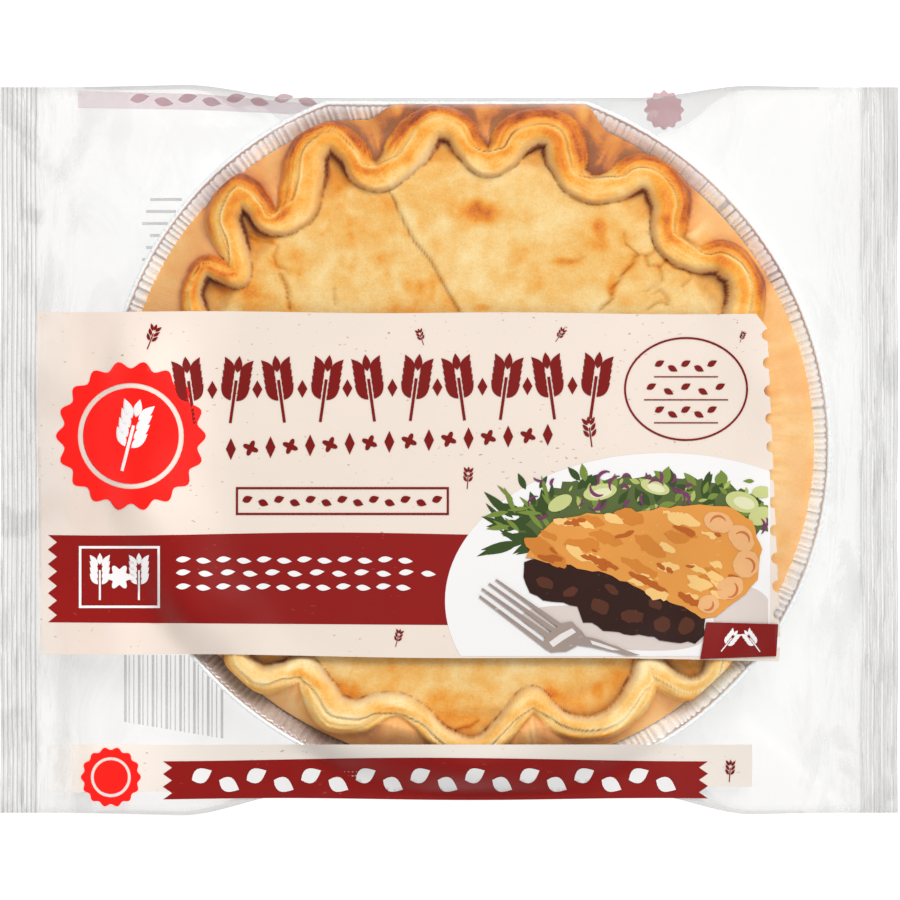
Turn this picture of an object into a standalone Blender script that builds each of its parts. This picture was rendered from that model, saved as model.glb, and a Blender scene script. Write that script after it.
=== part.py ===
"""A round steak pie in its foil tin, sealed in a clear bag that is drawn tight over the crust.

The bag lies on the tin's base with the crust up. X runs along the bag, Y across it and Z up.
The bag is one closed solid: its top film follows the pie's fluted crust and the tin's rim, its
underside follows the tin, and a crimped seal closes it at either end. All sizes are in metres.
"""

import math

import bmesh
import bpy

BAG_LENGTH = 0.276
BAG_WIDTH_AT_SEALS = 0.2232
SEAL_WIDTH = 0.0116
SEAL_HEIGHT = 0.020
FILM_EDGE_THICKNESS = 0.0010

SEAL_RIDGES = 8
SEAL_RIDGE_DEPTH = 0.00035
SEAL_WAVE = 0.0012
SEAL_WAVE_LENGTH = 0.074
SEAL_WAVE_FADES_FROM = 0.8

# The soft foil tin is a little oval: longest towards the far left and the near right corners.
TIN_CENTRE_X = 0.0058
TIN_CENTRE_Y = 0.0046
TIN_RIM_RADIUS = 0.1100
TIN_RIM_OVAL = 0.0021
TIN_OVAL_AXIS = math.radians(-32)
TIN_RIM_HEIGHT = 0.0335
TIN_BASE_RADIUS = 0.0855

CRUST_HEIGHT = 0.0440
CRUST_ROUNDING = 0.0040
CRUST_TO_RIM = 0.0020
CRUST_FLUTE_DEPTH = 0.0052
CRUST_FLUTE_DROP = 0.0012
LID_SAG = 0.0024

# The bag is narrower where the tin draws it tight than at its seals.
DRAWN_IN_TOP = 0.0042
DRAWN_IN_BOTTOM = 0.0069
DRAWN_HALF_LENGTH = 0.052
DRAWN_FADE = 0.036
EDGE_HEIGHT_AT_TIN = 0.0310
EDGE_LOW_FROM = 0.122
EDGE_HIGH_FROM = 0.060
RIM_INSET_AT_EDGE = 0.0010

# Soft creases run from the tin's rim out to the seals and corners.
CREASE_DEPTH = 0.0010
CREASES = ((19, 1.0, 0.6), (31, 2.2, 0.4))
CREASE_ROOM = 0.020

# The baker's hand-pressed flutes: degrees round the pie from +X, and how far out each one reaches.
FLUTES = (
    (5, 0.1045), (31, 0.1025), (55, 0.1030), (77, 0.1025), (96, 0.1018), (114, 0.1046),
    (132, 0.1072), (150, 0.1018), (170, 0.1030), (190, 0.1030), (211, 0.1028), (229, 0.1030),
    (247, 0.1040), (270, 0.1035), (295, 0.1018), (318, 0.1030), (342, 0.1045),
)

RAYS_PER_QUARTER = 38
LID_RINGS = (0.34, 0.64, 0.80)
CROWN_RINGS = (0.88, 0.95, 1.0)
SHOULDER_RINGS = (0.3, 0.6, 0.85, 1.0)
SLOPE_RINGS = (0.3, 0.6, 0.85)
UNDERSIDE_RINGS = (0.5, 1.0)
WALL_RINGS = (0.5,)
SEAL_ROW_STEP = 2

SHOULDER_POWER = 1.6
SLOPE_POWER = 0.85
SHARP_ANGLE = math.radians(40)
SEARCH_STEPS = 50
TINY = 1e-9

SEAL_LINE = BAG_LENGTH / 2 - SEAL_WIDTH
HALF_WIDTH = BAG_WIDTH_AT_SEALS / 2


def smooth(t):
    """An even step from 0 to 1."""
    t = min(max(t, 0.0), 1.0)
    return t * t * (3 - 2 * t)


def mix(a, b, t):
    return a + (b - a) * t


def fluting(angle):
    """How near an angle is to a flute's crest, from 0 to 1, and how far out the crust reaches there."""
    degrees = math.degrees(angle) % 360
    first, last = FLUTES[0], FLUTES[-1]
    marks = [(last[0] - 360, last[1]), *FLUTES, (first[0] + 360, first[1])]
    for low, high in zip(marks, marks[1:]):
        if degrees <= high[0]:
            break
    t = (degrees - low[0]) / (high[0] - low[0])
    return 0.5 + 0.5 * math.cos(2 * math.pi * t), mix(low[1], high[1], smooth(t))


def rim_radius(angle, reach):
    """The tin's rim, pressed in where the bag's long edge lies across it."""
    oval = TIN_RIM_RADIUS + TIN_RIM_OVAL * math.cos(2 * (angle - TIN_OVAL_AXIS))
    return min(oval, reach - RIM_INSET_AT_EDGE)


def long_edge(x, side):
    """The Y of the bag's long edge: side is 1 for the far edge and -1 for the near one."""
    from_tin = abs(x - TIN_CENTRE_X) - DRAWN_HALF_LENGTH
    drawn_in = DRAWN_IN_TOP if side > 0 else DRAWN_IN_BOTTOM
    return side * (HALF_WIDTH - drawn_in * (1 - smooth(from_tin / DRAWN_FADE)))


def edge_height(x):
    """How high the film's folded edge runs: at the tin's rim beside the pie, lower at the seals."""
    t = (EDGE_LOW_FROM - abs(x)) / (EDGE_LOW_FROM - EDGE_HIGH_FROM)
    return mix(SEAL_HEIGHT, EDGE_HEIGHT_AT_TIN, smooth(t))


def seal_wave(y):
    """The seals aren't quite flat: they rise and fall a little along their length."""
    past = abs(y) / HALF_WIDTH - SEAL_WAVE_FADES_FROM
    fade = 1 - smooth(past / (1 - SEAL_WAVE_FADES_FROM))
    return SEAL_WAVE * math.sin(2 * math.pi * y / SEAL_WAVE_LENGTH) * fade


def creasing(angle, room, t):
    """How far the film's creases lift it, a share t of the way from the rim to its edge."""
    swell = sum(share * math.sin(count * angle + phase) for count, phase, share in CREASES)
    return CREASE_DEPTH * swell * math.sin(math.pi * t) * smooth(room / CREASE_ROOM)


def outline_point(angle):
    """Where a ray from the tin's centre meets the bag's long edge or the line of a seal."""
    across, up = math.cos(angle), math.sin(angle)
    if abs(across) > TINY:
        seal = math.copysign(SEAL_LINE, across)
        reach = (seal - TIN_CENTRE_X) / across
        y = TIN_CENTRE_Y + reach * up
        if abs(y) <= HALF_WIDTH + TINY:
            return seal, y
    side = math.copysign(1, up)
    near, far = 0.0, 2 * BAG_LENGTH
    for _ in range(SEARCH_STEPS):
        reach = (near + far) / 2
        inside = side * (TIN_CENTRE_Y + reach * up) < side * long_edge(TIN_CENTRE_X + reach * across, side)
        near, far = (reach, far) if inside else (near, reach)
    return TIN_CENTRE_X + reach * across, TIN_CENTRE_Y + reach * up


def ray_angles():
    """Rays evenly spaced between the four corners, with one ray through each corner."""
    corners = []
    for side_x, side_y in ((1, -1), (1, 1), (-1, 1), (-1, -1)):
        x = side_x * SEAL_LINE - TIN_CENTRE_X
        y = side_y * HALF_WIDTH - TIN_CENTRE_Y
        corners.append(math.atan2(y, x) % (2 * math.pi))
    corners[0] -= 2 * math.pi
    corners.append(corners[0] + 2 * math.pi)
    angles = []
    for low, high in zip(corners, corners[1:]):
        angles += [mix(low, high, i / RAYS_PER_QUARTER) for i in range(RAYS_PER_QUARTER)]
    return angles


def top_profile(angle, edge):
    """The top film's rings along one ray, as distance from the tin's centre and height."""
    reach = math.hypot(edge[0] - TIN_CENTRE_X, edge[1] - TIN_CENTRE_Y)
    rim = rim_radius(angle, reach)
    flute, crust = fluting(angle)
    widest = min(crust - CRUST_ROUNDING, rim - CRUST_TO_RIM)
    shoulder = widest - CRUST_FLUTE_DEPTH * (1 - flute)
    crown = CRUST_HEIGHT - CRUST_FLUTE_DROP * (1 - flute)
    edge_z = edge[2] + FILM_EDGE_THICKNESS / 2
    rings = [(t * shoulder, CRUST_HEIGHT - LID_SAG) for t in LID_RINGS]
    for t in CROWN_RINGS:
        rise = smooth((t - LID_RINGS[-1]) / (CROWN_RINGS[1] - LID_RINGS[-1]))
        rings.append((t * shoulder, mix(CRUST_HEIGHT - LID_SAG, crown, rise)))
    for t in SHOULDER_RINGS:
        rings.append((mix(shoulder, rim, t), mix(crown, TIN_RIM_HEIGHT, t**SHOULDER_POWER)))
    for t in SLOPE_RINGS:
        z = mix(TIN_RIM_HEIGHT, edge_z, t**SLOPE_POWER) + creasing(angle, reach - rim, t)
        rings.append((mix(rim, reach, t), z))
    return rings


def bottom_profile(angle, edge):
    """The underside's rings along one ray: flat under the tin's base, then up the tin's wall."""
    reach = math.hypot(edge[0] - TIN_CENTRE_X, edge[1] - TIN_CENTRE_Y)
    edge_z = edge[2] - FILM_EDGE_THICKNESS / 2
    rings = [(t * TIN_BASE_RADIUS, 0.0) for t in UNDERSIDE_RINGS]
    rings += [(mix(TIN_BASE_RADIUS, reach, t), edge_z * t) for t in WALL_RINGS]
    return rings


def add_cap(mesh, angles, profiles, centre_z, edge_ring, upward):
    """Joins the rings of one face of the bag, from its centre out to the edge ring."""
    count = len(angles)
    centre = mesh.verts.new((TIN_CENTRE_X, TIN_CENTRE_Y, centre_z))
    rings = []
    for number in range(len(profiles[0])):
        ring = []
        for angle, profile in zip(angles, profiles):
            distance, z = profile[number]
            x = TIN_CENTRE_X + distance * math.cos(angle)
            y = TIN_CENTRE_Y + distance * math.sin(angle)
            ring.append(mesh.verts.new((x, y, z)))
        rings.append(ring)
    rings.append(edge_ring)
    for i in range(count):
        j = (i + 1) % count
        fan = (centre, rings[0][i], rings[0][j])
        mesh.faces.new(fan if upward else fan[::-1])
        for inner, outer in zip(rings, rings[1:]):
            face = (inner[i], outer[i], outer[j], inner[j])
            mesh.faces.new(face if upward else face[::-1])


def seal_columns():
    """The ridges' crests and troughs across a seal: distance outwards and height."""
    step = SEAL_WIDTH / (2 * SEAL_RIDGES)
    columns = []
    for number in range(1, 2 * SEAL_RIDGES + 1):
        columns.append((number * step, SEAL_RIDGE_DEPTH * (1 if number % 2 else -1)))
    columns[-1] = (SEAL_WIDTH, 0.0)
    return columns


def add_seal_face(mesh, side, edge, lift):
    """One ridged face of a seal, out from the film's edge row, as its lines of points."""
    rows = range(0, len(edge), SEAL_ROW_STEP)
    lines = []
    for distance, ridge in seal_columns():
        line = []
        for row in rows:
            y = edge[row].co.y
            z = SEAL_HEIGHT + seal_wave(y) + ridge + lift
            line.append(mesh.verts.new((side * (SEAL_LINE + distance), y, z)))
        lines.append(line)
    for i in range(len(rows) - 1):
        first = i * SEAL_ROW_STEP
        mesh.faces.new([*edge[first:first + SEAL_ROW_STEP + 1], lines[0][i + 1], lines[0][i]])
        for inner, outer in zip(lines, lines[1:]):
            mesh.faces.new((inner[i], inner[i + 1], outer[i + 1], outer[i]))
    return lines


def add_seal(mesh, side, upper, lower):
    """The crimped strip beyond the two films' edge rows, which run along the seal's inner line."""
    above = add_seal_face(mesh, side, upper, FILM_EDGE_THICKNESS / 2)
    below = add_seal_face(mesh, side, lower, -FILM_EDGE_THICKNESS / 2)
    for end in (0, -1):
        mesh.faces.new((upper[end], above[0][end], below[0][end], lower[end]))
        for i in range(len(above) - 1):
            mesh.faces.new((above[i][end], above[i + 1][end], below[i + 1][end], below[i][end]))
    for i in range(len(above[-1]) - 1):
        mesh.faces.new((above[-1][i], above[-1][i + 1], below[-1][i + 1], below[-1][i]))


def film_material():
    material = bpy.data.materials.new("clear_film")
    material.use_nodes = True
    surface = material.node_tree.nodes["Principled BSDF"]
    surface.inputs["Base Color"].default_value = (0.86, 0.84, 0.82, 1)
    surface.inputs["Roughness"].default_value = 0.22
    surface.inputs["Metallic"].default_value = 0.0
    return material


def build_pack():
    mesh = bmesh.new()
    angles = ray_angles()
    edges = []
    for angle in angles:
        x, y = outline_point(angle)
        lift = seal_wave(y) if abs(x) > SEAL_LINE - TINY else 0.0
        edges.append((x, y, edge_height(x) + lift))
    half = FILM_EDGE_THICKNESS / 2
    upper = [mesh.verts.new((x, y, z + half)) for x, y, z in edges]
    lower = [mesh.verts.new((x, y, z - half)) for x, y, z in edges]
    tops = [top_profile(angle, edge) for angle, edge in zip(angles, edges)]
    bottoms = [bottom_profile(angle, edge) for angle, edge in zip(angles, edges)]
    add_cap(mesh, angles, tops, CRUST_HEIGHT - LID_SAG, upper, True)
    add_cap(mesh, angles, bottoms, 0.0, lower, False)
    quarter = RAYS_PER_QUARTER
    for start in (quarter, 3 * quarter):
        for i in range(start, start + quarter):
            j = (i + 1) % len(angles)
            mesh.faces.new((upper[i], lower[i], lower[j], upper[j]))
    right = list(range(0, quarter + 1))
    left = list(range(2 * quarter, 3 * quarter + 1))
    for side, rows in ((1, right), (-1, left)):
        add_seal(mesh, side, [upper[i] for i in rows], [lower[i] for i in rows])
    bmesh.ops.triangulate(mesh, faces=mesh.faces[:])
    bmesh.ops.recalc_face_normals(mesh, faces=mesh.faces[:])
    data = bpy.data.meshes.new("pie_pack")
    mesh.to_mesh(data)
    mesh.free()
    data.shade_smooth()
    data.set_sharp_from_angle(angle=SHARP_ANGLE)
    data.materials.append(film_material())
    pack = bpy.data.objects.new("pie_pack", data)
    bpy.context.scene.collection.objects.link(pack)
    return pack


def main():
    for old in list(bpy.data.objects):
        bpy.data.objects.remove(old)
    build_pack()


main()
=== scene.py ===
"""The looks of a round steak pie in its foil tin, sealed in a clear printed bag.

The film, the tin, the pie and the print are pieces of their own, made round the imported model.
Shapes are worked out in millimetres and turned into metres when a piece is made. Places taken from
the picture are given in its 900 x 900 frame and lie where the camera sees them on the film or pie.
"""

import math
from types import SimpleNamespace

import bpy
import numpy as np
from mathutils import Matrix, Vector
from mathutils.geometry import delaunay_2d_cdt


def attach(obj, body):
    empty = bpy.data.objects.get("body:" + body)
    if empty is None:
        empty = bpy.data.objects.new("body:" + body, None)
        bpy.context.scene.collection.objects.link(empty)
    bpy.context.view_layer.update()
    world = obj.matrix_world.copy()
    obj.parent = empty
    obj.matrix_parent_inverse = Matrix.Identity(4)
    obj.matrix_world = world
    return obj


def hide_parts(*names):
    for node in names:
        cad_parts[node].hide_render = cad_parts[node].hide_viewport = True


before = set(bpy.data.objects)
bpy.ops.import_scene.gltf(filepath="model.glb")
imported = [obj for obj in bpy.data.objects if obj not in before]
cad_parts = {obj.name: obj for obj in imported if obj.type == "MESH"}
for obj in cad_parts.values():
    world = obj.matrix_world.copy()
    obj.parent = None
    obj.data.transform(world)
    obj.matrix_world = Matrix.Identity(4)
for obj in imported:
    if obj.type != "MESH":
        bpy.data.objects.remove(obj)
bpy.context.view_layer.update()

MM = 0.001

# The bag, the tin and the flutes have the same sizes as in the model, here in millimetres.
BAG_LENGTH = 276.0
BAG_WIDTH_AT_SEALS = 223.2
SEAL_WIDTH = 11.6
SEAL_HEIGHT = 20.0
SEAL_RIDGES = 8
SEAL_RIDGE_DEPTH = 0.35
SEAL_WAVE = 1.2
SEAL_WAVE_LENGTH = 74.0
SEAL_WAVE_FADES_FROM = 0.8
SEAL_LINE = BAG_LENGTH / 2 - SEAL_WIDTH
HALF_WIDTH = BAG_WIDTH_AT_SEALS / 2

TIN_X = 5.8
TIN_Y = 4.6
TIN_RIM_RADIUS = 110.0
TIN_RIM_OVAL = 2.1
TIN_OVAL_AXIS = math.radians(-32)
TIN_RIM_HEIGHT = 33.5
TIN_BASE_RADIUS = 85.5

CRUST_HEIGHT = 44.0
CRUST_ROUNDING = 4.0
CRUST_TO_RIM = 2.0
CRUST_FLUTE_DEPTH = 5.2
CRUST_FLUTE_DROP = 1.2
LID_SAG = 2.4
LID_FLAT_TO = 0.80
CROWN_FROM = 0.95
SHOULDER_POWER = 1.6
SLOPE_POWER = 0.85

DRAWN_IN_TOP = 4.2
DRAWN_IN_BOTTOM = 6.9
DRAWN_HALF_LENGTH = 52.0
DRAWN_FADE = 36.0
EDGE_HEIGHT_AT_TIN = 31.0
EDGE_LOW_FROM = 122.0
EDGE_HIGH_FROM = 60.0
RIM_INSET_AT_EDGE = 1.0
CREASE_DEPTH = 1.0
CREASES = ((19, 1.0, 0.6), (31, 2.2, 0.4))
CREASE_ROOM = 20.0

FLUTES = (
    (5, 104.5), (31, 102.5), (55, 103.0), (77, 102.5), (96, 101.8), (114, 104.6),
    (132, 107.2), (150, 101.8), (170, 103.0), (190, 103.0), (211, 102.8), (229, 103.0),
    (247, 104.0), (270, 103.5), (295, 101.8), (318, 103.0), (342, 104.5),
)
FLUTE_MARKS = np.array([(FLUTES[-1][0] - 360, FLUTES[-1][1]), *FLUTES, (FLUTES[0][0] + 360, FLUTES[0][1])])

# The camera looks straight down; one pixel is 0.3043 mm on the tin's rim.
CAMERA_X = 0.3
CAMERA_HEIGHT = 1233.0
FRAME_PIXELS = 900
CENTRE_PIXEL = FRAME_PIXELS / 2
PIXEL_AT_RIM = 0.3043
RIM_DISTANCE = 1200.0
# A height half way up the crust, at which the picture's pixels are placed at first.
MIDDLE_LEVEL = 40.0

SEARCH_STEPS = 36
PATCH_CELLS = 64


def smooth(t):
    """An even step from 0 to 1."""
    t = np.clip(t, 0.0, 1.0)
    return t * t * (3 - 2 * t)


def mix(a, b, t):
    return a + (b - a) * t


def hump(distance, width):
    """1 at distance 0, falling away softly over a width."""
    return np.exp(-((distance / width) ** 2))


def patches(x, y, size, seed):
    """Soft random patches of one size, from -1 to 1."""
    table = np.random.default_rng(seed).uniform(-1, 1, (PATCH_CELLS, PATCH_CELLS))
    u, v = np.asarray(x) / size + 0.37, np.asarray(y) / size + 0.61
    column, row = np.floor(u).astype(int), np.floor(v).astype(int)
    s, t = smooth(u - column), smooth(v - row)

    def corner(across, up):
        return table[(column + across) % PATCH_CELLS, (row + up) % PATCH_CELLS]

    return mix(mix(corner(0, 0), corner(1, 0), s), mix(corner(0, 1), corner(1, 1), s), t)


def swells(along, seed):
    """Soft random rises and falls along one direction, a unit apart, from -1 to 1."""
    return patches(along, 0.0, 1.0, seed)


def cloud(x, y, size, seed, layers=3):
    """Patches of several sizes added up, from about -1 to 1."""
    total = 0.0
    for layer in range(layers):
        total = total + patches(x, y, size / 2**layer, seed + layer) / 2**layer
    return total / (2 - 2.0 ** (1 - layers))


def fluting(angle):
    """How near an angle is to a flute's crest, from 0 to 1, and how far out the crust reaches there."""
    degrees = np.degrees(angle) % 360
    following = np.clip(np.searchsorted(FLUTE_MARKS[:, 0], degrees), 1, len(FLUTE_MARKS) - 1)
    low, high = FLUTE_MARKS[following - 1], FLUTE_MARKS[following]
    t = (degrees - low[..., 0]) / (high[..., 0] - low[..., 0])
    return 0.5 + 0.5 * np.cos(2 * np.pi * t), mix(low[..., 1], high[..., 1], smooth(t))


def long_edge(x, side):
    """The Y of the bag's long edge: side is 1 for the far edge and -1 for the near one."""
    from_tin = np.abs(x - TIN_X) - DRAWN_HALF_LENGTH
    drawn_in = DRAWN_IN_TOP if side > 0 else DRAWN_IN_BOTTOM
    return side * (HALF_WIDTH - drawn_in * (1 - smooth(from_tin / DRAWN_FADE)))


def edge_height(x):
    """How high the film's folded edge runs: at the tin's rim beside the pie, lower at the seals."""
    t = (EDGE_LOW_FROM - np.abs(x)) / (EDGE_LOW_FROM - EDGE_HIGH_FROM)
    return mix(SEAL_HEIGHT, EDGE_HEIGHT_AT_TIN, smooth(t))


def seal_wave(y):
    """The seals aren't quite flat: they rise and fall a little along their length."""
    past = np.abs(y) / HALF_WIDTH - SEAL_WAVE_FADES_FROM
    fade = 1 - smooth(past / (1 - SEAL_WAVE_FADES_FROM))
    return SEAL_WAVE * np.sin(2 * np.pi * y / SEAL_WAVE_LENGTH) * fade


def round_angles(count):
    return np.linspace(0, 2 * np.pi, count, endpoint=False)


def at_polar(angle, distance):
    """The x and y of a place given from the tin's centre."""
    return TIN_X + distance * np.cos(angle), TIN_Y + distance * np.sin(angle)


def about_tin(x, y):
    """The angle and distance of a point from the tin's centre."""
    return np.arctan2(y - TIN_Y, x - TIN_X), np.hypot(x - TIN_X, y - TIN_Y)


def film_reach(angle):
    """How far the bag reaches from the tin's centre, up to its long edges and its seals."""
    near = np.zeros_like(angle)
    far = np.full_like(angle, 2 * BAG_LENGTH)
    for _ in range(SEARCH_STEPS):
        middle = (near + far) / 2
        x, y = at_polar(angle, middle)
        inside = (np.abs(x) < SEAL_LINE) & (y < long_edge(x, 1)) & (y > long_edge(x, -1))
        near, far = np.where(inside, middle, near), np.where(inside, far, middle)
    return near


def rim_radius(angle, reach):
    """The tin's rim, pressed in where the bag's long edge lies across it."""
    oval = TIN_RIM_RADIUS + TIN_RIM_OVAL * np.cos(2 * (angle - TIN_OVAL_AXIS))
    return np.minimum(oval, reach - RIM_INSET_AT_EDGE)


def edge_lift(angle, reach):
    """The height of the bag's edge or seal line along a ray."""
    x, y = at_polar(angle, reach)
    return edge_height(x) + np.where(np.abs(x) > SEAL_LINE - 0.001, seal_wave(y), 0.0)


def film_top(x, y):
    """The height of the bag's top film, which follows the crust, the tin's rim and the seals."""
    angle, distance = about_tin(x, y)
    reach = film_reach(angle)
    rim = rim_radius(angle, reach)
    flute, crust = fluting(angle)
    widest = np.minimum(crust - CRUST_ROUNDING, rim - CRUST_TO_RIM)
    shoulder = widest - CRUST_FLUTE_DEPTH * (1 - flute)
    crown = CRUST_HEIGHT - CRUST_FLUTE_DROP * (1 - flute)
    share = distance / shoulder
    rise = smooth((share - LID_FLAT_TO) / (CROWN_FROM - LID_FLAT_TO))
    over_pie = mix(CRUST_HEIGHT - LID_SAG, crown, rise)
    down = np.clip((distance - shoulder) / (rim - shoulder), 0, 1)
    over_rim = mix(crown, TIN_RIM_HEIGHT, down**SHOULDER_POWER)
    out = np.clip((distance - rim) / (reach - rim), 0, 1)
    swell = sum(part * np.sin(count * angle + phase) for count, phase, part in CREASES)
    crease = CREASE_DEPTH * swell * np.sin(np.pi * out) * smooth((reach - rim) / CREASE_ROOM)
    beyond_rim = mix(TIN_RIM_HEIGHT, edge_lift(angle, reach), out**SLOPE_POWER) + crease
    height = np.where(distance < shoulder, over_pie, np.where(distance < rim, over_rim, beyond_rim))
    return np.where(np.abs(x) > SEAL_LINE, SEAL_HEIGHT + seal_wave(y), height)


def film_under(x, y):
    """The height of the bag's underside: flat under the tin, then up to the edges and seals."""
    angle, distance = about_tin(x, y)
    reach = film_reach(angle)
    out = np.clip((distance - TIN_BASE_RADIUS) / (reach - TIN_BASE_RADIUS), 0, 1)
    height = edge_lift(angle, reach) * out
    return np.where(np.abs(x) > SEAL_LINE, SEAL_HEIGHT + seal_wave(y), height)


def pixel_size(z):
    """The size in millimetres of one pixel of the picture at a height z."""
    return PIXEL_AT_RIM * (CAMERA_HEIGHT - z) / RIM_DISTANCE


def seen_at(u, v, z):
    """The x and y, in millimetres, of what a pixel of the picture shows at a height z."""
    scale = pixel_size(z)
    return CAMERA_X + (np.asarray(u) - CENTRE_PIXEL) * scale, (CENTRE_PIXEL - np.asarray(v)) * scale


def on_film(u, v, surface):
    """Where a pixel of the picture lies on a face of the film, as x, y and z in millimetres."""
    z = np.full(np.shape(u), MIDDLE_LEVEL)
    for _ in range(4):
        x, y = seen_at(u, v, z)
        z = surface(x, y)
    return x, y, z


def as_seen(x, y, z):
    """The pixel of the picture at which a point in millimetres is seen."""
    scale = pixel_size(z)
    return CENTRE_PIXEL + (x - CAMERA_X) / scale, CENTRE_PIXEL - y / scale


# Materials.

# How much lighter the lamps make a surface than its own colour.
LIGHT_GAIN = 1.25
MOST_LIGHT = 0.95


def tone(red, green, blue, gain=LIGHT_GAIN):
    """The colour of a surface that looks like this under the studio light."""
    parts = []
    for level in (red, green, blue):
        level = level / 255
        linear = level / 12.92 if level <= 0.04045 else ((level + 0.055) / 1.055) ** 2.4
        parts.append(min(linear / gain, MOST_LIGHT))
    return (*parts, 1.0)


def feed(tree, value, socket):
    """Links another node's output to a socket, or sets the socket to a number or colour."""
    if isinstance(value, bpy.types.NodeSocket):
        tree.links.new(value, socket)
    else:
        socket.default_value = value


def add_node(tree, kind, inputs=None, **settings):
    """A node in a tree, its inputs fed by number or name; returns its outputs."""
    node = tree.nodes.new(kind)
    for name, value in settings.items():
        setattr(node, name, value)
    for name, value in (inputs or {}).items():
        feed(tree, value, node.inputs[name])
    return node.outputs


def maths(tree, operation, first, second, clamp=False):
    """A Math node; returns its output."""
    return add_node(tree, "ShaderNodeMath", {0: first, 1: second}, operation=operation, use_clamp=clamp)[0]


def weighted_sum(tree, *parts):
    """Values added up, each times its own number."""
    total = None
    for value, share in parts:
        part = maths(tree, "MULTIPLY", value, share)
        total = part if total is None else maths(tree, "ADD", total, part)
    return total


def blend_colours(tree, share, first, second, mode="MIX"):
    """A colour Mix node; returns its output."""
    inputs = {0: share, 6: first, 7: second}
    return add_node(tree, "ShaderNodeMix", inputs, data_type="RGBA", blend_type=mode)[2]


def ramp(tree, share, stops):
    """A ColorRamp node over colour stops; returns its output."""
    node = tree.nodes.new("ShaderNodeValToRGB")
    elements = node.color_ramp.elements
    while len(elements) < len(stops):
        elements.new(1.0)
    for element, (position, colour) in zip(elements, stops):
        element.position = position
        element.color = colour
    feed(tree, share, node.inputs[0])
    return node.outputs[0]


def spread(tree, value, low, high, low_out=0.0, high_out=1.0):
    """A Map Range node from one span of numbers to another; returns its output."""
    inputs = dict(enumerate((value, low, high, low_out, high_out)))
    return add_node(tree, "ShaderNodeMapRange", inputs, interpolation_type="SMOOTHSTEP")[0]


def noise(tree, place, scale, detail=3.0, roughness=0.55, distortion=0.0):
    """A Noise texture read at a place, with its scale in waves to the metre; returns its output."""
    inputs = {"Vector": place, "Scale": scale, "Detail": detail, "Roughness": roughness}
    inputs["Distortion"] = distortion
    return add_node(tree, "ShaderNodeTexNoise", inputs, noise_dimensions="3D")["Fac"]


def place_on_piece(tree, stretch=None):
    """The point's own place on the piece, stretched along the axes if asked."""
    place = add_node(tree, "ShaderNodeTexCoord")["Object"]
    if stretch is None:
        return place
    return add_node(tree, "ShaderNodeMapping", {"Vector": place, "Scale": stretch})[0]


def new_group(name, given, results):
    """An empty node group: given names its inputs with their defaults, results its outputs' kinds."""
    group = bpy.data.node_groups.new(name, "ShaderNodeTree")
    for title, default in given.items():
        kind = "NodeSocketColor" if isinstance(default, tuple) else "NodeSocketFloat"
        socket = group.interface.new_socket(name=title, in_out="INPUT", socket_type=kind)
        socket.default_value = default
    for title, kind in results.items():
        group.interface.new_socket(name=title, in_out="OUTPUT", socket_type="NodeSocket" + kind)
    return group, group.nodes.new("NodeGroupInput").outputs, group.nodes.new("NodeGroupOutput").inputs


def use_group(tree, group, inputs):
    """Places a node group in a material; returns its outputs."""
    return add_node(tree, "ShaderNodeGroup", inputs, node_tree=group)


PASTRY_STOPS = (
    (0.00, tone(254, 230, 172)),
    (0.18, tone(251, 214, 142)),
    (0.36, tone(246, 192, 104)),
    (0.55, tone(243, 164, 54)),
    (0.72, tone(230, 130, 32)),
    (0.88, tone(184, 86, 24)),
    (1.00, tone(128, 54, 16)),
)

SPECK_COLOUR = tone(196, 126, 62)
# The colour of the painted shade in cracks, seams, pockets and notches.
CRACK_SHADE_COLOUR = tone(134, 58, 14)


def baking_group():
    """Pastry from pale to toasted by a bake share, with fine mottling and painted shade darkening its
    cracks.
    """
    group, given, result = new_group(
        "baked_pastry",
        {"Bake": 0.4, "Crack shade": 0.0, "Mottle": 0.1},
        {"Color": "Color", "Height": "Float", "Gloss": "Float"},
    )
    place = place_on_piece(group)
    coarse = noise(group, place, 190, detail=4, roughness=0.6)
    fine = noise(group, place, 1500, detail=4, roughness=0.65)
    broad = noise(group, place, 75, detail=3, distortion=0.5)
    wander = weighted_sum(group, (coarse, 1.2), (fine, 0.8), (broad, 1.0))
    wander = maths(group, "MULTIPLY", maths(group, "SUBTRACT", wander, 1.5), given["Mottle"])
    share = maths(group, "ADD", given["Bake"], wander, clamp=True)
    speck = spread(group, noise(group, place, 900, detail=2), 0.66, 0.74, 0.0, 0.22)
    flecked = blend_colours(group, speck, ramp(group, share, PASTRY_STOPS), SPECK_COLOUR)
    feed(group, blend_colours(group, given["Crack shade"], flecked, CRACK_SHADE_COLOUR), result["Color"])
    feed(group, weighted_sum(group, (coarse, 0.6), (fine, 0.4)), result["Height"])
    feed(group, spread(group, share, 0.2, 0.9, 0.62, 0.40), result["Gloss"])
    return group


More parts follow.
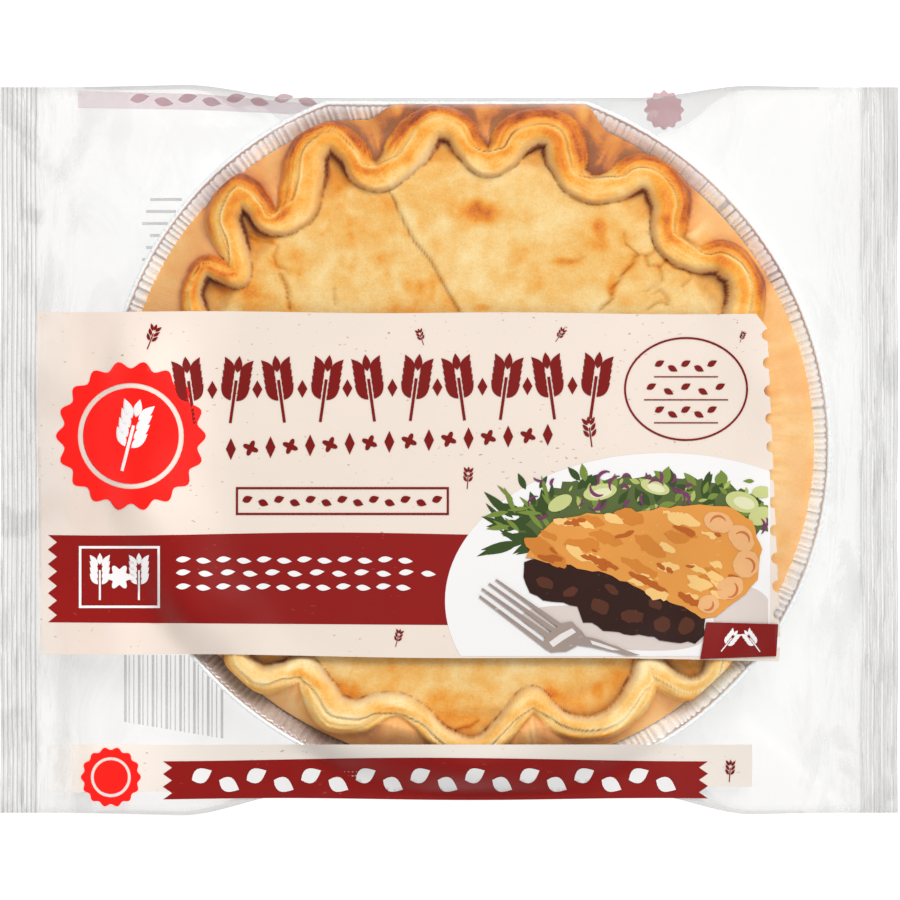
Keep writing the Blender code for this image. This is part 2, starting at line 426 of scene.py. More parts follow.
def ink_group():
    """Printed ink: an even colour with faint cloudiness and scattered flecks of another colour."""
    group, given, result = new_group(
        "printed_ink",
        {"Ink": (0.5, 0.5, 0.5, 1), "Fleck": (0.3, 0.2, 0.1, 1), "Fleck amount": 0.5, "Cloud": 0.1},
        {"Color": "Color", "Roughness": "Float"},
    )
    place = place_on_piece(group)
    cloudy = noise(group, place, 26, detail=4)
    dark = maths(group, "MULTIPLY", maths(group, "SUBTRACT", cloudy, 0.5), given["Cloud"])
    level = maths(group, "SUBTRACT", 1.0, dark)
    grey = add_node(group, "ShaderNodeCombineColor", {0: level, 1: level, 2: level})[0]
    shaded = blend_colours(group, 1.0, given["Ink"], grey, mode="MULTIPLY")
    flecks = spread(group, noise(group, place_on_piece(group, (1, 1.9, 1)), 520, detail=1), 0.71, 0.77)
    thinned = spread(group, noise(group, place, 60, detail=2), 0.40, 0.62)
    share = maths(group, "MULTIPLY", maths(group, "MULTIPLY", flecks, thinned), given["Fleck amount"])
    feed(group, blend_colours(group, share, shaded, given["Fleck"]), result["Color"])
    feed(group, spread(group, cloudy, 0.3, 0.7, 0.34, 0.46), result["Roughness"])
    return group


def crease_group():
    """Creases pressed into film: streaks along Y, and softer folds that wander, as height and haze that is
    partly painted light and shade.
    """
    group, given, result = new_group(
        "film_creases", {"Streaks": 1.0, "Folds": 1.0}, {"Height": "Float", "Haze": "Float"}
    )
    fine = noise(group, place_on_piece(group, (1, 0.12, 1)), 420, detail=3, distortion=0.3)
    soft = noise(group, place_on_piece(group, (1, 0.45, 1)), 42, detail=4, roughness=0.5, distortion=1.2)
    lines = maths(group, "MULTIPLY", spread(group, fine, 0.5, 0.72), given["Streaks"])
    folds = maths(group, "MULTIPLY", spread(group, soft, 0.5, 0.66), given["Folds"])
    feed(group, maths(group, "ADD", lines, folds), result["Height"])
    feed(group, maths(group, "MAXIMUM", lines, folds), result["Haze"])
    return group


def start_material(name, settings):
    """A material, its node tree and its Principled shader with some of its sockets set."""
    material = bpy.data.materials.new(name)
    material.use_nodes = True
    tree = material.node_tree
    surface = tree.nodes["Principled BSDF"]
    for socket, value in settings.items():
        surface.inputs[socket].default_value = value
    return material, tree, surface


def add_bump(tree, surface, height, strength, distance):
    inputs = {"Strength": strength, "Distance": distance, "Height": height}
    feed(tree, add_node(tree, "ShaderNodeBump", inputs)[0], surface.inputs["Normal"])


def mask(tree, name):
    """A mask that was worked out with the shape and kept on its points."""
    return add_node(tree, "ShaderNodeAttribute", attribute_name=name)["Fac"]


PEACH = tone(250, 188, 126)
PASTRY_MOTTLE = 0.42
PASTRY_RELIEF = 0.0009
# What pastry is lightened by where it gets painted light, most where it lies open to the lamps.
PAINTED_LIGHT_GAIN = (1.26, 1.26, 1.29, 1)


def pastry_material(name, baking):
    material, tree, surface = start_material(name, {"Specular IOR Level": 0.20})
    inputs = {"Bake": mask(tree, "bake"), "Crack shade": mask(tree, "crack_shade"), "Mottle": PASTRY_MOTTLE}
    baked = use_group(tree, baking, inputs)
    peach = blend_colours(tree, mask(tree, "peach"), baked["Color"], PEACH)
    # Painted light: the pastry's colour is lightened by its painted light mask.
    painted_lit = blend_colours(tree, mask(tree, "painted_light"), peach, PAINTED_LIGHT_GAIN, mode="MULTIPLY")
    feed(tree, painted_lit, surface.inputs["Base Color"])
    feed(tree, baked["Gloss"], surface.inputs["Roughness"])
    add_bump(tree, surface, baked["Height"], 0.65, PASTRY_RELIEF)
    return material


FOIL_DULL = (0.90, 0.96, 1.0, 1)
FOIL_BRIGHT = (0.97, 1.0, 1.0, 1)
FOIL_FOLD_SHADE = tone(160, 168, 182)
FOIL_WARMTH_AND_SHADE = tone(176, 138, 118)
FOIL_RELIEF = 0.0004


def foil_material():
    """Bright soft aluminium with fine rubbed wrinkles between its pleats, painted shade in their folds and
    on one side.
    """
    material, tree, surface = start_material("pleated_foil", {"Metallic": 0.12})
    place = place_on_piece(tree)
    rubbed = noise(tree, place, 700, detail=4)
    dents = noise(tree, place, 150, detail=3, distortion=0.6)
    tint = blend_colours(tree, spread(tree, dents, 0.3, 0.7), FOIL_DULL, FOIL_BRIGHT)
    # Painted shade in the pleats' folds.
    tint = blend_colours(tree, mask(tree, "pleat"), tint, FOIL_FOLD_SHADE)
    # Warmer next to the crust, and painted shade on the pie's shaded side.
    tint = blend_colours(tree, mask(tree, "warmth_and_shade"), tint, FOIL_WARMTH_AND_SHADE)
    feed(tree, tint, surface.inputs["Base Color"])
    feed(tree, spread(tree, rubbed, 0.3, 0.7, 0.16, 0.34), surface.inputs["Roughness"])
    add_bump(tree, surface, weighted_sum(tree, (rubbed, 0.3), (dents, 1.0)), 0.12, FOIL_RELIEF)
    return material


FILM_IOR = 1.5
FILM_WHITE = (0.60, 0.597, 0.59, 1)
FILM_CLEAR = (0.962, 0.960, 0.956, 1)
FILM_CREASE_HAZE = 0.32
FILM_GLOSS = 0.4
FILM_RELIEF = 0.0006


def film_material(creases):
    """Clear film: a whitish haze on seals and creases, and otherwise only its gloss."""
    settings = {"Base Color": FILM_WHITE, "IOR": FILM_IOR, "Specular IOR Level": 0.22}
    material, tree, surface = start_material("clear_film", settings)
    folded = use_group(tree, creases, {"Streaks": mask(tree, "streaks"), "Folds": mask(tree, "folds")})
    feed(tree, spread(tree, folded["Haze"], 0.0, 1.0, 0.10, 0.28), surface.inputs["Roughness"])
    add_bump(tree, surface, folded["Height"], 0.55, FILM_RELIEF)
    gloss = add_node(tree, "ShaderNodeFresnel", {"IOR": FILM_IOR})[0]
    # The creases' haze is partly the film's own whitening and partly painted light and shade.
    veil = weighted_sum(tree, (folded["Haze"], FILM_CREASE_HAZE), (mask(tree, "veil"), 1.0))
    cover = maths(tree, "ADD", veil, maths(tree, "MULTIPLY", gloss, FILM_GLOSS), clamp=True)
    clear = add_node(tree, "ShaderNodeBsdfTransparent", {"Color": FILM_CLEAR})[0]
    covered = add_node(tree, "ShaderNodeMixShader", {0: cover, 1: clear, 2: surface.outputs[0]})[0]
    to_camera = add_node(tree, "ShaderNodeLightPath")["Is Camera Ray"]
    seen = add_node(tree, "ShaderNodeMixShader", {0: to_camera, 1: clear, 2: covered})[0]
    feed(tree, seen, tree.nodes["Material Output"].inputs["Surface"])
    return material


# The X, in metres, over which the film leans away from the lamps, and what its ink is lightened by there as
# painted light.
LEANING_FILM = (-0.100, -0.060)
LEANING_GAIN = (1.27, 1.25, 1.25, 1)


def ink_material(name, ink_print, ink, fleck, amount=0.0, cloud=0.12, cover=1.0, fade=None):
    """Ink on the film; fade is the X, in metres, where it begins and is full, and its first cover."""
    material, tree, surface = start_material(name, {"Specular IOR Level": 0.12, "Alpha": cover})
    inputs = {"Ink": ink, "Fleck": fleck, "Fleck amount": amount, "Cloud": cloud}
    printed = use_group(tree, ink_print, inputs)
    along = add_node(tree, "ShaderNodeSeparateXYZ", {0: place_on_piece(tree)})[0]
    # Painted light: ink where the film leans away from the lamps is lightened.
    leaning = spread(tree, along, *LEANING_FILM, 1.0, 0.0)
    lightened = blend_colours(tree, leaning, printed["Color"], LEANING_GAIN, mode="MULTIPLY")
    feed(tree, lightened, surface.inputs["Base Color"])
    feed(tree, printed["Roughness"], surface.inputs["Roughness"])
    if fade:
        feed(tree, spread(tree, along, *fade, cover), surface.inputs["Alpha"])
    return material


# Making of pieces.


def make_piece(name, points, faces, material, masks=None):
    """A piece from points in millimetres; masks are numbers for each point, kept by name."""
    mesh = bpy.data.meshes.new(name)
    mesh.from_pydata((np.asarray(points) * MM).tolist(), [], faces)
    mesh.shade_smooth()
    mesh.set_sharp_from_angle(angle=math.radians(62))
    for title, values in (masks or {}).items():
        layer = mesh.attributes.new(title, "FLOAT", "POINT")
        layer.data.foreach_set("value", np.asarray(values, dtype=np.float32).ravel())
    mesh.materials.append(material)
    mesh.update()
    piece = bpy.data.objects.new(name, mesh)
    bpy.context.scene.collection.objects.link(piece)
    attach(piece, "root")
    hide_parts("pie_pack")
    return piece


def grid_faces(rows, columns, start=0, wrap_rows=False, wrap_columns=False, flip=False):
    """Quads over a grid of points numbered row by row."""
    r = np.arange(rows if wrap_rows else rows - 1)
    c = np.arange(columns if wrap_columns else columns - 1)
    r, c = (part.ravel() for part in np.meshgrid(r, c, indexing="ij"))
    below, right = (r + 1) % rows, (c + 1) % columns
    corners = [r * columns + c, r * columns + right, below * columns + right, below * columns + c]
    if flip:
        corners.reverse()
    return (np.stack(corners, axis=1) + start).tolist()


# The bag of clear film.

FILM_ROWS = 150
FILM_SEAL_COLUMNS = 44
FILM_MIDDLE_COLUMNS = 190

# How far each film stands off the model's own surface, and the least room between the two.
FILM_STANDS_OFF = 0.10
FILM_LEAST_GAP = 0.2
UNDERSIDE_FROM = 0.25
BEND_ROUNDS = 3


def film_columns():
    seal = np.linspace(SEAL_LINE, BAG_LENGTH / 2, FILM_SEAL_COLUMNS)
    middle = np.linspace(-SEAL_LINE, SEAL_LINE, FILM_MIDDLE_COLUMNS)
    return np.concatenate([-seal[:0:-1], middle, seal[1:]])


def film_folds(x, y):
    """Where the film lies in folds: 0 over the pie, more towards its seals and corners."""
    clear_of_tin = smooth((about_tin(x, y)[1] - 104) / 14)
    to_seal = smooth((np.abs(x) - 96) / 34)
    return clear_of_tin * mix(0.30, 1.0, to_seal)


def film_ripple(x, y):
    """Fine creases that the film's pull leaves between the tin and the seals, in height."""
    angle, distance = about_tin(x, y)
    inside_bag = smooth((SEAL_LINE + 2 - np.abs(x)) / 6) * smooth((HALF_WIDTH - np.abs(y)) / 9)
    pulls = 0.50 * patches(angle * 42, distance / 26, 1.0, 11)
    folds = 0.55 * (1 - np.abs(cloud(x, y * 0.45, 21, 14))) ** 3
    return (pulls + folds) * film_folds(x, y) * inside_bag


def film_grid():
    """The film's grid of places, and the heights of its top and underside with softened bends."""
    x, v = np.meshgrid(film_columns(), np.linspace(-1, 1, FILM_ROWS))
    y = np.where(v > 0, v * long_edge(x, 1), -v * long_edge(x, -1))
    inside = np.abs(x) < SEAL_LINE
    heights = []
    for height in (film_top(x, y) + film_ripple(x, y), np.maximum(film_under(x, y), UNDERSIDE_FROM)):
        for _ in range(BEND_ROUNDS):
            soft = height.copy()
            soft[1:-1] = (height[:-2] + 2 * height[1:-1] + height[2:]) / 4
            soft[:, 1:-1] = (soft[:, :-2] + 2 * soft[:, 1:-1] + soft[:, 2:]) / 4
            height = np.where(inside, soft, height)
        heights.append(height)
    return x, y, v, *heights


def read_grid(heights, x, y):
    """The height of a film at a place, between the four nearest points of its grid."""
    columns = film_columns()
    v = np.where(y > 0, y / long_edge(x, 1), -y / long_edge(x, -1))
    row = np.clip((v + 1) / 2 * (FILM_ROWS - 1), 0, FILM_ROWS - 1.001)
    column = np.clip(np.interp(x, columns, np.arange(len(columns))), 0, len(columns) - 1.001)
    r, c = row.astype(int), column.astype(int)
    s, t = column - c, row - r
    return mix(mix(heights[r, c], heights[r, c + 1], s), mix(heights[r + 1, c], heights[r + 1, c + 1], s), t)


def seal_ridges(x, y):
    """The crimped ridges of the seals, in height."""
    depth = np.clip((np.abs(x) - SEAL_LINE) / SEAL_WIDTH, 0, 1)
    wander = 0.12 * patches(y, x, 9.0, 21)
    return SEAL_RIDGE_DEPTH * np.sin(2 * np.pi * (depth + wander / SEAL_WIDTH) * SEAL_RIDGES) * (depth > 0)


def film_masks(x, y, v, ridge):
    """Where the film is veiled in whitish haze, partly painted shade, streaked and folded."""
    at_seal = smooth((np.abs(x) - SEAL_LINE + 1.5) / 3)
    near_seal = smooth((np.abs(x) - 108) / 18) * (1 - at_seal)
    outside = smooth((about_tin(x, y)[1] - 106) / 6)
    soft = 0.5 + 0.5 * cloud(x, y * 0.6, 30, 51)
    crest = smooth(ridge / SEAL_RIDGE_DEPTH * 0.5 + 0.5)
    # The haze is painted greyer towards the right and the far left, as painted shade.
    veil = 0.03 + 0.11 * soft**2 + 0.12 * smooth((x - 50) / 40) + 0.05 * smooth((-x - 85) / 25)
    veil = veil + 0.22 * hump(1 - np.abs(v), 0.012)
    veil = veil * outside + 0.22 * smooth((np.abs(v) - 0.963) / 0.010) * (1 - outside)
    veil = veil + 0.03 * near_seal + at_seal * (0.05 + 0.13 * crest)
    return {"veil": veil, "streaks": 0.9 * at_seal + 0.55 * near_seal, "folds": film_folds(x, y)}


def build_film(material):
    """One closed envelope: top film, underside, folded long edges and a crimped seal at either end."""
    x, y, v, top, under = film_grid()
    ridge = seal_ridges(x, y)
    inside = np.abs(x) < SEAL_LINE
    top = top + ridge + FILM_STANDS_OFF
    under = under + ridge - FILM_STANDS_OFF
    under = np.where(inside, np.minimum(under, top - FILM_LEAST_GAP), under)
    ripple = 0.6 * film_ripple(x, y) * smooth((under - 3) / 6) * (np.abs(v) < 0.97)
    under = under + np.where(inside, ripple, 0)
    points = np.concatenate([np.stack([x, y, z], axis=-1).reshape(-1, 3) for z in (top, under)])
    rows, columns = x.shape
    under_start = rows * columns
    faces = grid_faces(rows, columns)
    faces += grid_faces(rows, columns, under_start, flip=True)
    faces += rim_faces(rows, columns, under_start)
    masks = film_masks(x, y, v, ridge)
    masks = {name: np.concatenate([value.ravel()] * 2) for name, value in masks.items()}
    return make_piece("film", points, faces, material, masks)


def rim_faces(rows, columns, under_start):
    """Quads that join the outer edges of two grids of points, one above the other."""
    top = [(0, c) for c in range(columns)]
    top += [(r, columns - 1) for r in range(1, rows)]
    top += [(rows - 1, c) for c in range(columns - 2, -1, -1)]
    top += [(r, 0) for r in range(rows - 2, 0, -1)]
    loop = [r * columns + c for r, c in top]
    following = loop[1:] + loop[:1]
    return [(b, a, a + under_start, b + under_start) for a, b in zip(loop, following)]


# The foil tin.

TIN_ANGLES = 2160
TIN_PLEATS = 320
PLEAT_DEPTH = 0.50
BEAD_RADIUS = 0.68
BEAD_TURNS = (-150, -110, -70, -30, 10, 50, 90, 130, 165)
# The ring of points at the foot of the bead, on its inside.
INNER_CREASE = 16
# How far the tin stays inside the model's rim and base.
RIM_CLEARANCE = 0.25
BASE_CLEARANCE = 1.9
TIN_UNDERSIDE = 0.55
TIN_FLOOR = 1.0
WALL_FOOT = 1.6
WALL_TOP = TIN_RIM_HEIGHT - 0.9
# Sides of the pie, in degrees round it: the one that lies in shade, and the far one, given painted shade.
SHADED_SIDE = 238
FAR_SHADED_SIDE = 80


def pleating(angle):
    """The tin's uneven pleats round its wall, from -1 to 1."""
    wobble = 2.2 * swells(angle * 14, 61) + 1.1 * swells(angle * 47, 62)
    strength = 0.65 + 0.35 * swells(angle * 30, 63)
    return np.sin(TIN_PLEATS * angle + wobble * 2.4) * strength


def tin_rim(angle):
    return rim_radius(angle, film_reach(angle)) - RIM_CLEARANCE


def tin_wall(rim, z):
    """How far the inside of the tin's wall is from its centre at a height."""
    inner_rim = rim - 2 * BEAD_RADIUS - 0.9
    return mix(TIN_BASE_RADIUS - 2.7, inner_rim, (z - WALL_FOOT) / (TIN_RIM_HEIGHT - 1.1 - WALL_FOOT))


def tin_rings(angle, pleat):
    """The tin's rings, as distance and height: up its outside, over the bead and down its inside."""
    rim = tin_rim(angle)
    inner_bead = rim - 2 * BEAD_RADIUS
    base = TIN_BASE_RADIUS - BASE_CLEARANCE
    rings = [(base - 1.2, TIN_UNDERSIDE, 0.0), (base - 0.2, 0.8, 0.2), (base + 0.35, WALL_FOOT, 0.6)]
    for share in (0.25, 0.5, 0.75, 0.94):
        rings.append((mix(base + 0.35, inner_bead - 0.2, share), mix(WALL_FOOT, WALL_TOP, share), 1.0))
    bead = BEAD_RADIUS + 0.10 * swells(angle * 55, 64)
    for turn in BEAD_TURNS:
        out, up = bead * math.cos(math.radians(turn)), bead * math.sin(math.radians(turn))
        rings.append((rim - BEAD_RADIUS + out, WALL_TOP - 0.05 + up, 0.12))
    for inset, drop, pleated in ((0.15, 0.45, 0.5), (0.50, 0.50, 0.9), (0.80, 0.60, 1.0)):
        rings.append((inner_bead - inset, WALL_TOP - drop, pleated))
    for z in (30.5, 27.5, 24.0, 16.0, 8.0, 1.9):
        rings.append((tin_wall(rim, z), z, 1.0))
    rings.append((base - 1.3, TIN_FLOOR, 0.2))
    return [(distance + PLEAT_DEPTH * pleated * pleat, z + 0 * angle) for distance, z, pleated in rings]


def tin_masks(angle, pleat, count):
    """Painted shade in the tin's folds and on the pie's shaded side, and warmth next to the pie, for each of
    its rings.
    """
    # Painted shade in the folds of the pleats.
    in_fold = smooth((-pleat - 0.25) / 0.4) * (0.40 + 0.75 * swells(angle * 61, 65))
    in_fold = np.clip(in_fold, 0, 1)
    folded = [in_fold * (0.25 if number < INNER_CREASE else 1.0) for number in range(count)]
    # Painted shade, dark and warm, on the pie's shaded side.
    in_shade = 0.62 * smooth((32 - np.abs(np.degrees(angle) - SHADED_SIDE)) / 14)
    warmed = smooth(0.75 + 0.6 * swells(angle * 7, 66))
    near_crust = {INNER_CREASE - 1: 0.4, INNER_CREASE: 0.9, INNER_CREASE + 1: 0.5}
    warmth_and_shade = []
    for number in range(count):
        own = near_crust.get(number, 0.0) * warmed
        warmth_and_shade.append(np.maximum(own, in_shade) if number > INNER_CREASE else own)
    centres = [0, 0]
    return {"pleat": np.concatenate([*folded, centres]), "warmth_and_shade": np.concatenate([*warmth_and_shade, centres])}


def build_tin(material):
    angle = round_angles(TIN_ANGLES)
    pleat = pleating(angle)
    rings = tin_rings(angle, pleat)
    count = len(rings)
    points = [np.stack([*at_polar(angle, distance), z], axis=-1) for distance, z in rings]
    points.append(np.array([[TIN_X, TIN_Y, TIN_UNDERSIDE], [TIN_X, TIN_Y, TIN_FLOOR]]))
    faces = grid_faces(count, TIN_ANGLES, wrap_columns=True, flip=True)
    under, over = count * TIN_ANGLES, count * TIN_ANGLES + 1
    last = (count - 1) * TIN_ANGLES
    following = (np.arange(TIN_ANGLES) + 1) % TIN_ANGLES
    faces += [(under, int(b), a) for a, b in enumerate(following)]
    faces += [(over, last + a, last + int(b)) for a, b in enumerate(following)]
    masks = tin_masks(angle, pleat, count)
    return make_piece("foil_tin", np.concatenate(points), faces, material, masks)


# The pie: a rope of crust folded in flutes, its outer wall, and a lid of pastry sheets.

ROPE_STEPS = 4000
ROPE_WINDOW = 190
ROPE_LEVEL = 42.0
ROPE_VALLEY = 85.6
CRUST_ANGLES = 1280
CRUST_RINGS = 58
CRUST_INNER = 75.0
LID_LEVEL = 37.2
PASTRY_MEETS_TIN = 28.6
WALL_FROM = 91.0
UNDER_FILM = 0.50
WALL_LEVEL = 39.6
PIE_UNDERSIDE = 3.0
MOST_TOASTED = 0.84
# The pixel row below which the crust lies towards the near side and is baked less, and the pixel column to
# the right of which that side gets more painted light.
FRONT_FROM, FRONT_LIT_FROM = 560, 470

# The rope of crust as the picture shows it, clockwise from its upper left: place, half its width in
# pixels, and how near the spot is to a flute's crest. Where the print hides it, it goes on in kind.
ROPE_LINE = (
    (205, 345, 14, 0.0), (196, 318, 14, 0.5), (190, 291, 11, 0.9), (203, 266, 12, 1.0), (222, 271, 12, 0.7),
    (238, 276, 12, 0.0), (236, 258, 14, 0.2), (228, 238, 17, 0.6), (222, 214, 18, 0.9), (238, 190, 19, 1.0),
    (257, 203, 15, 0.9), (266, 219, 13, 0.5), (281, 221, 14, 0.0), (296, 206, 20, 0.4), (302, 180, 23, 0.7),
    (307, 150, 22, 0.9), (330, 134, 17, 1.0), (352, 150, 15, 0.8), (362, 169, 14, 0.4), (378, 176, 14, 0.0),
    (395, 165, 17, 0.3), (411, 143, 23, 0.8), (432, 122, 19, 1.0), (456, 126, 17, 1.0), (469, 146, 15, 0.6),
    (487, 163, 13, 0.0), (503, 153, 17, 0.4), (517, 134, 20, 0.9), (540, 125, 19, 1.0), (561, 133, 20, 1.0),
    (568, 158, 20, 0.8), (574, 178, 16, 0.4), (593, 189, 15, 0.0), (617, 184, 16, 0.3), (640, 170, 18, 0.9),
    (661, 176, 20, 1.0), (672, 198, 22, 1.0), (671, 219, 20, 0.7), (670, 239, 15, 0.3), (682, 252, 14, 0.0),
    (700, 259, 14, 0.2), (722, 256, 17, 0.9), (742, 270, 20, 1.0), (748, 293, 21, 0.9), (742, 320, 19, 0.5),
    (726, 344, 15, 0.0), (738, 368, 14, 0.6), (750, 398, 15, 1.0), (742, 430, 14, 0.6), (724, 458, 14, 0.0),
    (736, 486, 14, 0.6), (748, 520, 15, 1.0), (734, 552, 14, 0.6), (710, 576, 14, 0.0), (716, 612, 13, 0.3),
    (724, 648, 14, 0.8), (714, 680, 13, 1.0), (692, 691, 13, 1.0), (668, 682, 13, 0.6), (649, 664, 13, 0.0),
    (645, 682, 16, 0.3), (634, 704, 17, 0.8), (612, 724, 15, 1.0), (586, 730, 13, 1.0), (562, 724, 12, 0.7),
    (546, 710, 11, 0.3), (533, 699, 12, 0.0), (520, 710, 12, 0.3), (505, 729, 12, 0.7), (486, 748, 13, 1.0),
    (462, 750, 13, 1.0), (440, 738, 12, 0.7), (422, 720, 12, 0.3), (402, 706, 12, 0.0), (382, 707, 14, 0.3),
    (358, 717, 17, 0.9), (332, 714, 19, 1.0), (318, 692, 17, 0.6), (303, 668, 13, 0.0), (284, 676, 14, 0.5),
    (258, 680, 16, 1.0), (236, 660, 15, 1.0), (242, 634, 14, 0.4), (252, 612, 13, 0.0), (228, 604, 13, 0.6),
    (204, 588, 14, 1.0), (202, 560, 14, 0.6), (216, 530, 13, 0.0), (192, 514, 14, 0.6), (178, 486, 15, 1.0),
    (186, 458, 14, 0.6), (204, 434, 13, 0.0), (188, 412, 14, 0.6), (180, 386, 15, 1.0), (190, 362, 14, 0.6),
)

# Warm patches on the lid: place in the picture, half sizes in its pixels, and how much more baked.
LID_PATCHES = (
    (478, 212, 17, 15, 0.34), (497, 214, 15, 13, 0.16), (457, 212, 13, 11, 0.14), (445, 206, 34, 17, 0.13),
    (480, 222, 52, 30, 0.10), (515, 250, 10, 17, 0.15), (532, 282, 11, 15, 0.20), (599, 227, 8, 13, 0.26),
    (594, 245, 13, 9, 0.18), (564, 262, 15, 4, 0.24), (482, 308, 12, 4, 0.22), (383, 260, 14, 9, 0.14),
    (389, 281, 9, 7, 0.12), (612, 250, 30, 20, 0.04), (444, 706, 40, 17, 0.12), (551, 694, 11, 7, 0.28),
    (597, 692, 7, 9, 0.22), (518, 722, 12, 9, 0.16), (612, 285, 5, 12, 0.26), (300, 262, 22, 14, 0.12),
    (345, 232, 30, 16, 0.08), (430, 240, 17, 26, 0.14), (456, 286, 18, 24, 0.14), (335, 690, 26, 14, 0.10),
    (640, 300, 20, 9, 0.16), (240, 290, 14, 18, 0.14), (300, 288, 34, 26, -0.12), (560, 218, 26, 20, -0.06),
)

# Cracks and edges of the lid's pastry sheets, as lines of places in the picture, with their depth.
LID_CRACKS = (
    (0.30, ((624, 234), (626, 245), (637, 255), (646, 257), (652, 252), (655, 245), (647, 232))),
    (0.35, ((646, 257), (646, 261), (649, 266), (658, 266), (667, 261))),
    (0.45, ((666, 260), (675, 268), (690, 271))),
    (0.55, ((635, 255), (633, 265), (624, 274), (611, 289), (611, 299), (600, 311))),
    (0.35, ((658, 266), (661, 278), (656, 286), (645, 291))),
    (0.30, ((690, 271), (692, 278), (682, 287))),
    (0.35, ((655, 294), (661, 291), (667, 297), (666, 304))),
    (0.40, ((647, 311), (658, 303), (668, 304))),
    (0.70, ((281, 276), (286, 286), (288, 296), (290, 312))),
    (0.35, ((334, 289), (334, 303))),
    (0.35, ((276, 246), (273, 256), (276, 267), (287, 270))),
    (0.22, ((560, 260), (572, 262), (584, 258))),
    (0.25, ((477, 204), (478, 212), (477, 221))),
    (0.45, ((440, 728), (452, 731), (470, 728), (478, 722))),
)
SHEET_EDGE = ((392, 196), (400, 214), (413, 240), (430, 260), (447, 291), (462, 316), (500, 380), (560, 470))
# Down to where the picture shows the sheet's edge, and the lid's flakes beside it.
EDGE_SEEN_TO, FLAKES_SEEN_TO = 312, 320
LID_DIMPLE = (477, 213)
# How far from its first place a crack is looked for, in pixels.
CRACK_REACH = 80
# A torn strip of pastry that lies in a pocket of the crust.
TORN_STRIP = ((249, 233), (258, 238), (273, 241))


def rope_path():
    """The crust's closed middle line in even steps, with half its width and its nearness to a crest."""
    given = np.array(ROPE_LINE, dtype=float)
    t = np.linspace(0, 1, 40, endpoint=False)[:, None]
    parts = []
    for a, b, c, d in zip(*(np.roll(given, shift, axis=0) for shift in (1, 0, -1, -2))):
        bend = (2 * a - 5 * b + 4 * c - d) * t**2 + (3 * b - a - 3 * c + d) * t**3
        parts.append(b + 0.5 * ((c - a) * t + bend))
    u, v, half, crest = np.concatenate(parts)[::-1].T
    x, y = seen_at(u, v, ROPE_LEVEL)
    x, y, half, crest = (np.append(part, part[0]) for part in (x, y, half, crest))
    along = np.concatenate([[0], np.cumsum(np.hypot(np.diff(x), np.diff(y)))])
    even = np.linspace(0, along[-1], ROPE_STEPS, endpoint=False)
    x, y, half, crest = (np.interp(even, along, part) for part in (x, y, half, crest))
    return x, y, half * pixel_size(ROPE_LEVEL), np.clip(crest, 0, 1)


def beside_rope(angle, distance):
    """For each place: how far it is from the rope's middle line, outwards positive, and what is nearest."""
    path_x, path_y, width, crest = rope_path()
    path_angle = about_tin(path_x, path_y)[0] % (2 * np.pi)
    order = np.argsort(path_angle)
    count = len(order)
    along_x = np.roll(path_x, -1) - np.roll(path_x, 1)
    along_y = np.roll(path_y, -1) - np.roll(path_y, 1)
    offset = np.empty_like(distance)
    nearest = np.empty(distance.shape, dtype=int)
    window = np.arange(-ROPE_WINDOW, ROPE_WINDOW + 1)
    first = np.searchsorted(path_angle[order], angle)
    for number in range(distance.shape[1]):
        steps = order[(first[number] + window) % count]
        x, y = at_polar(angle[number], distance[:, number])
        apart = np.hypot(x[:, None] - path_x[steps], y[:, None] - path_y[steps])
        best = apart.argmin(axis=1)
        step = steps[best]
        turn = along_x[step] * (y - path_y[step]) - along_y[step] * (x - path_x[step])
        offset[:, number] = -np.sign(turn) * apart[np.arange(len(best)), best]
        nearest[:, number] = step
    return offset, width[nearest], crest[nearest], nearest


def line_distance(line, u, v):
    """How far each place is from a line of points, and on which side of it (1 is to its left)."""
    best = np.full(np.shape(u), np.inf)
    side = np.ones(np.shape(u))
    for (u0, v0), (u1, v1) in zip(line, line[1:]):
        du, dv = u1 - u0, v1 - v0
        t = np.clip(((u - u0) * du + (v - v0) * dv) / (du * du + dv * dv), 0, 1)
        apart = np.hypot(u - u0 - t * du, v - v0 - t * dv)
        turn = np.sign(du * (v - v0) - dv * (u - u0))
        side = np.where(apart < best, turn, side)
        best = np.minimum(best, apart)
    return best, side


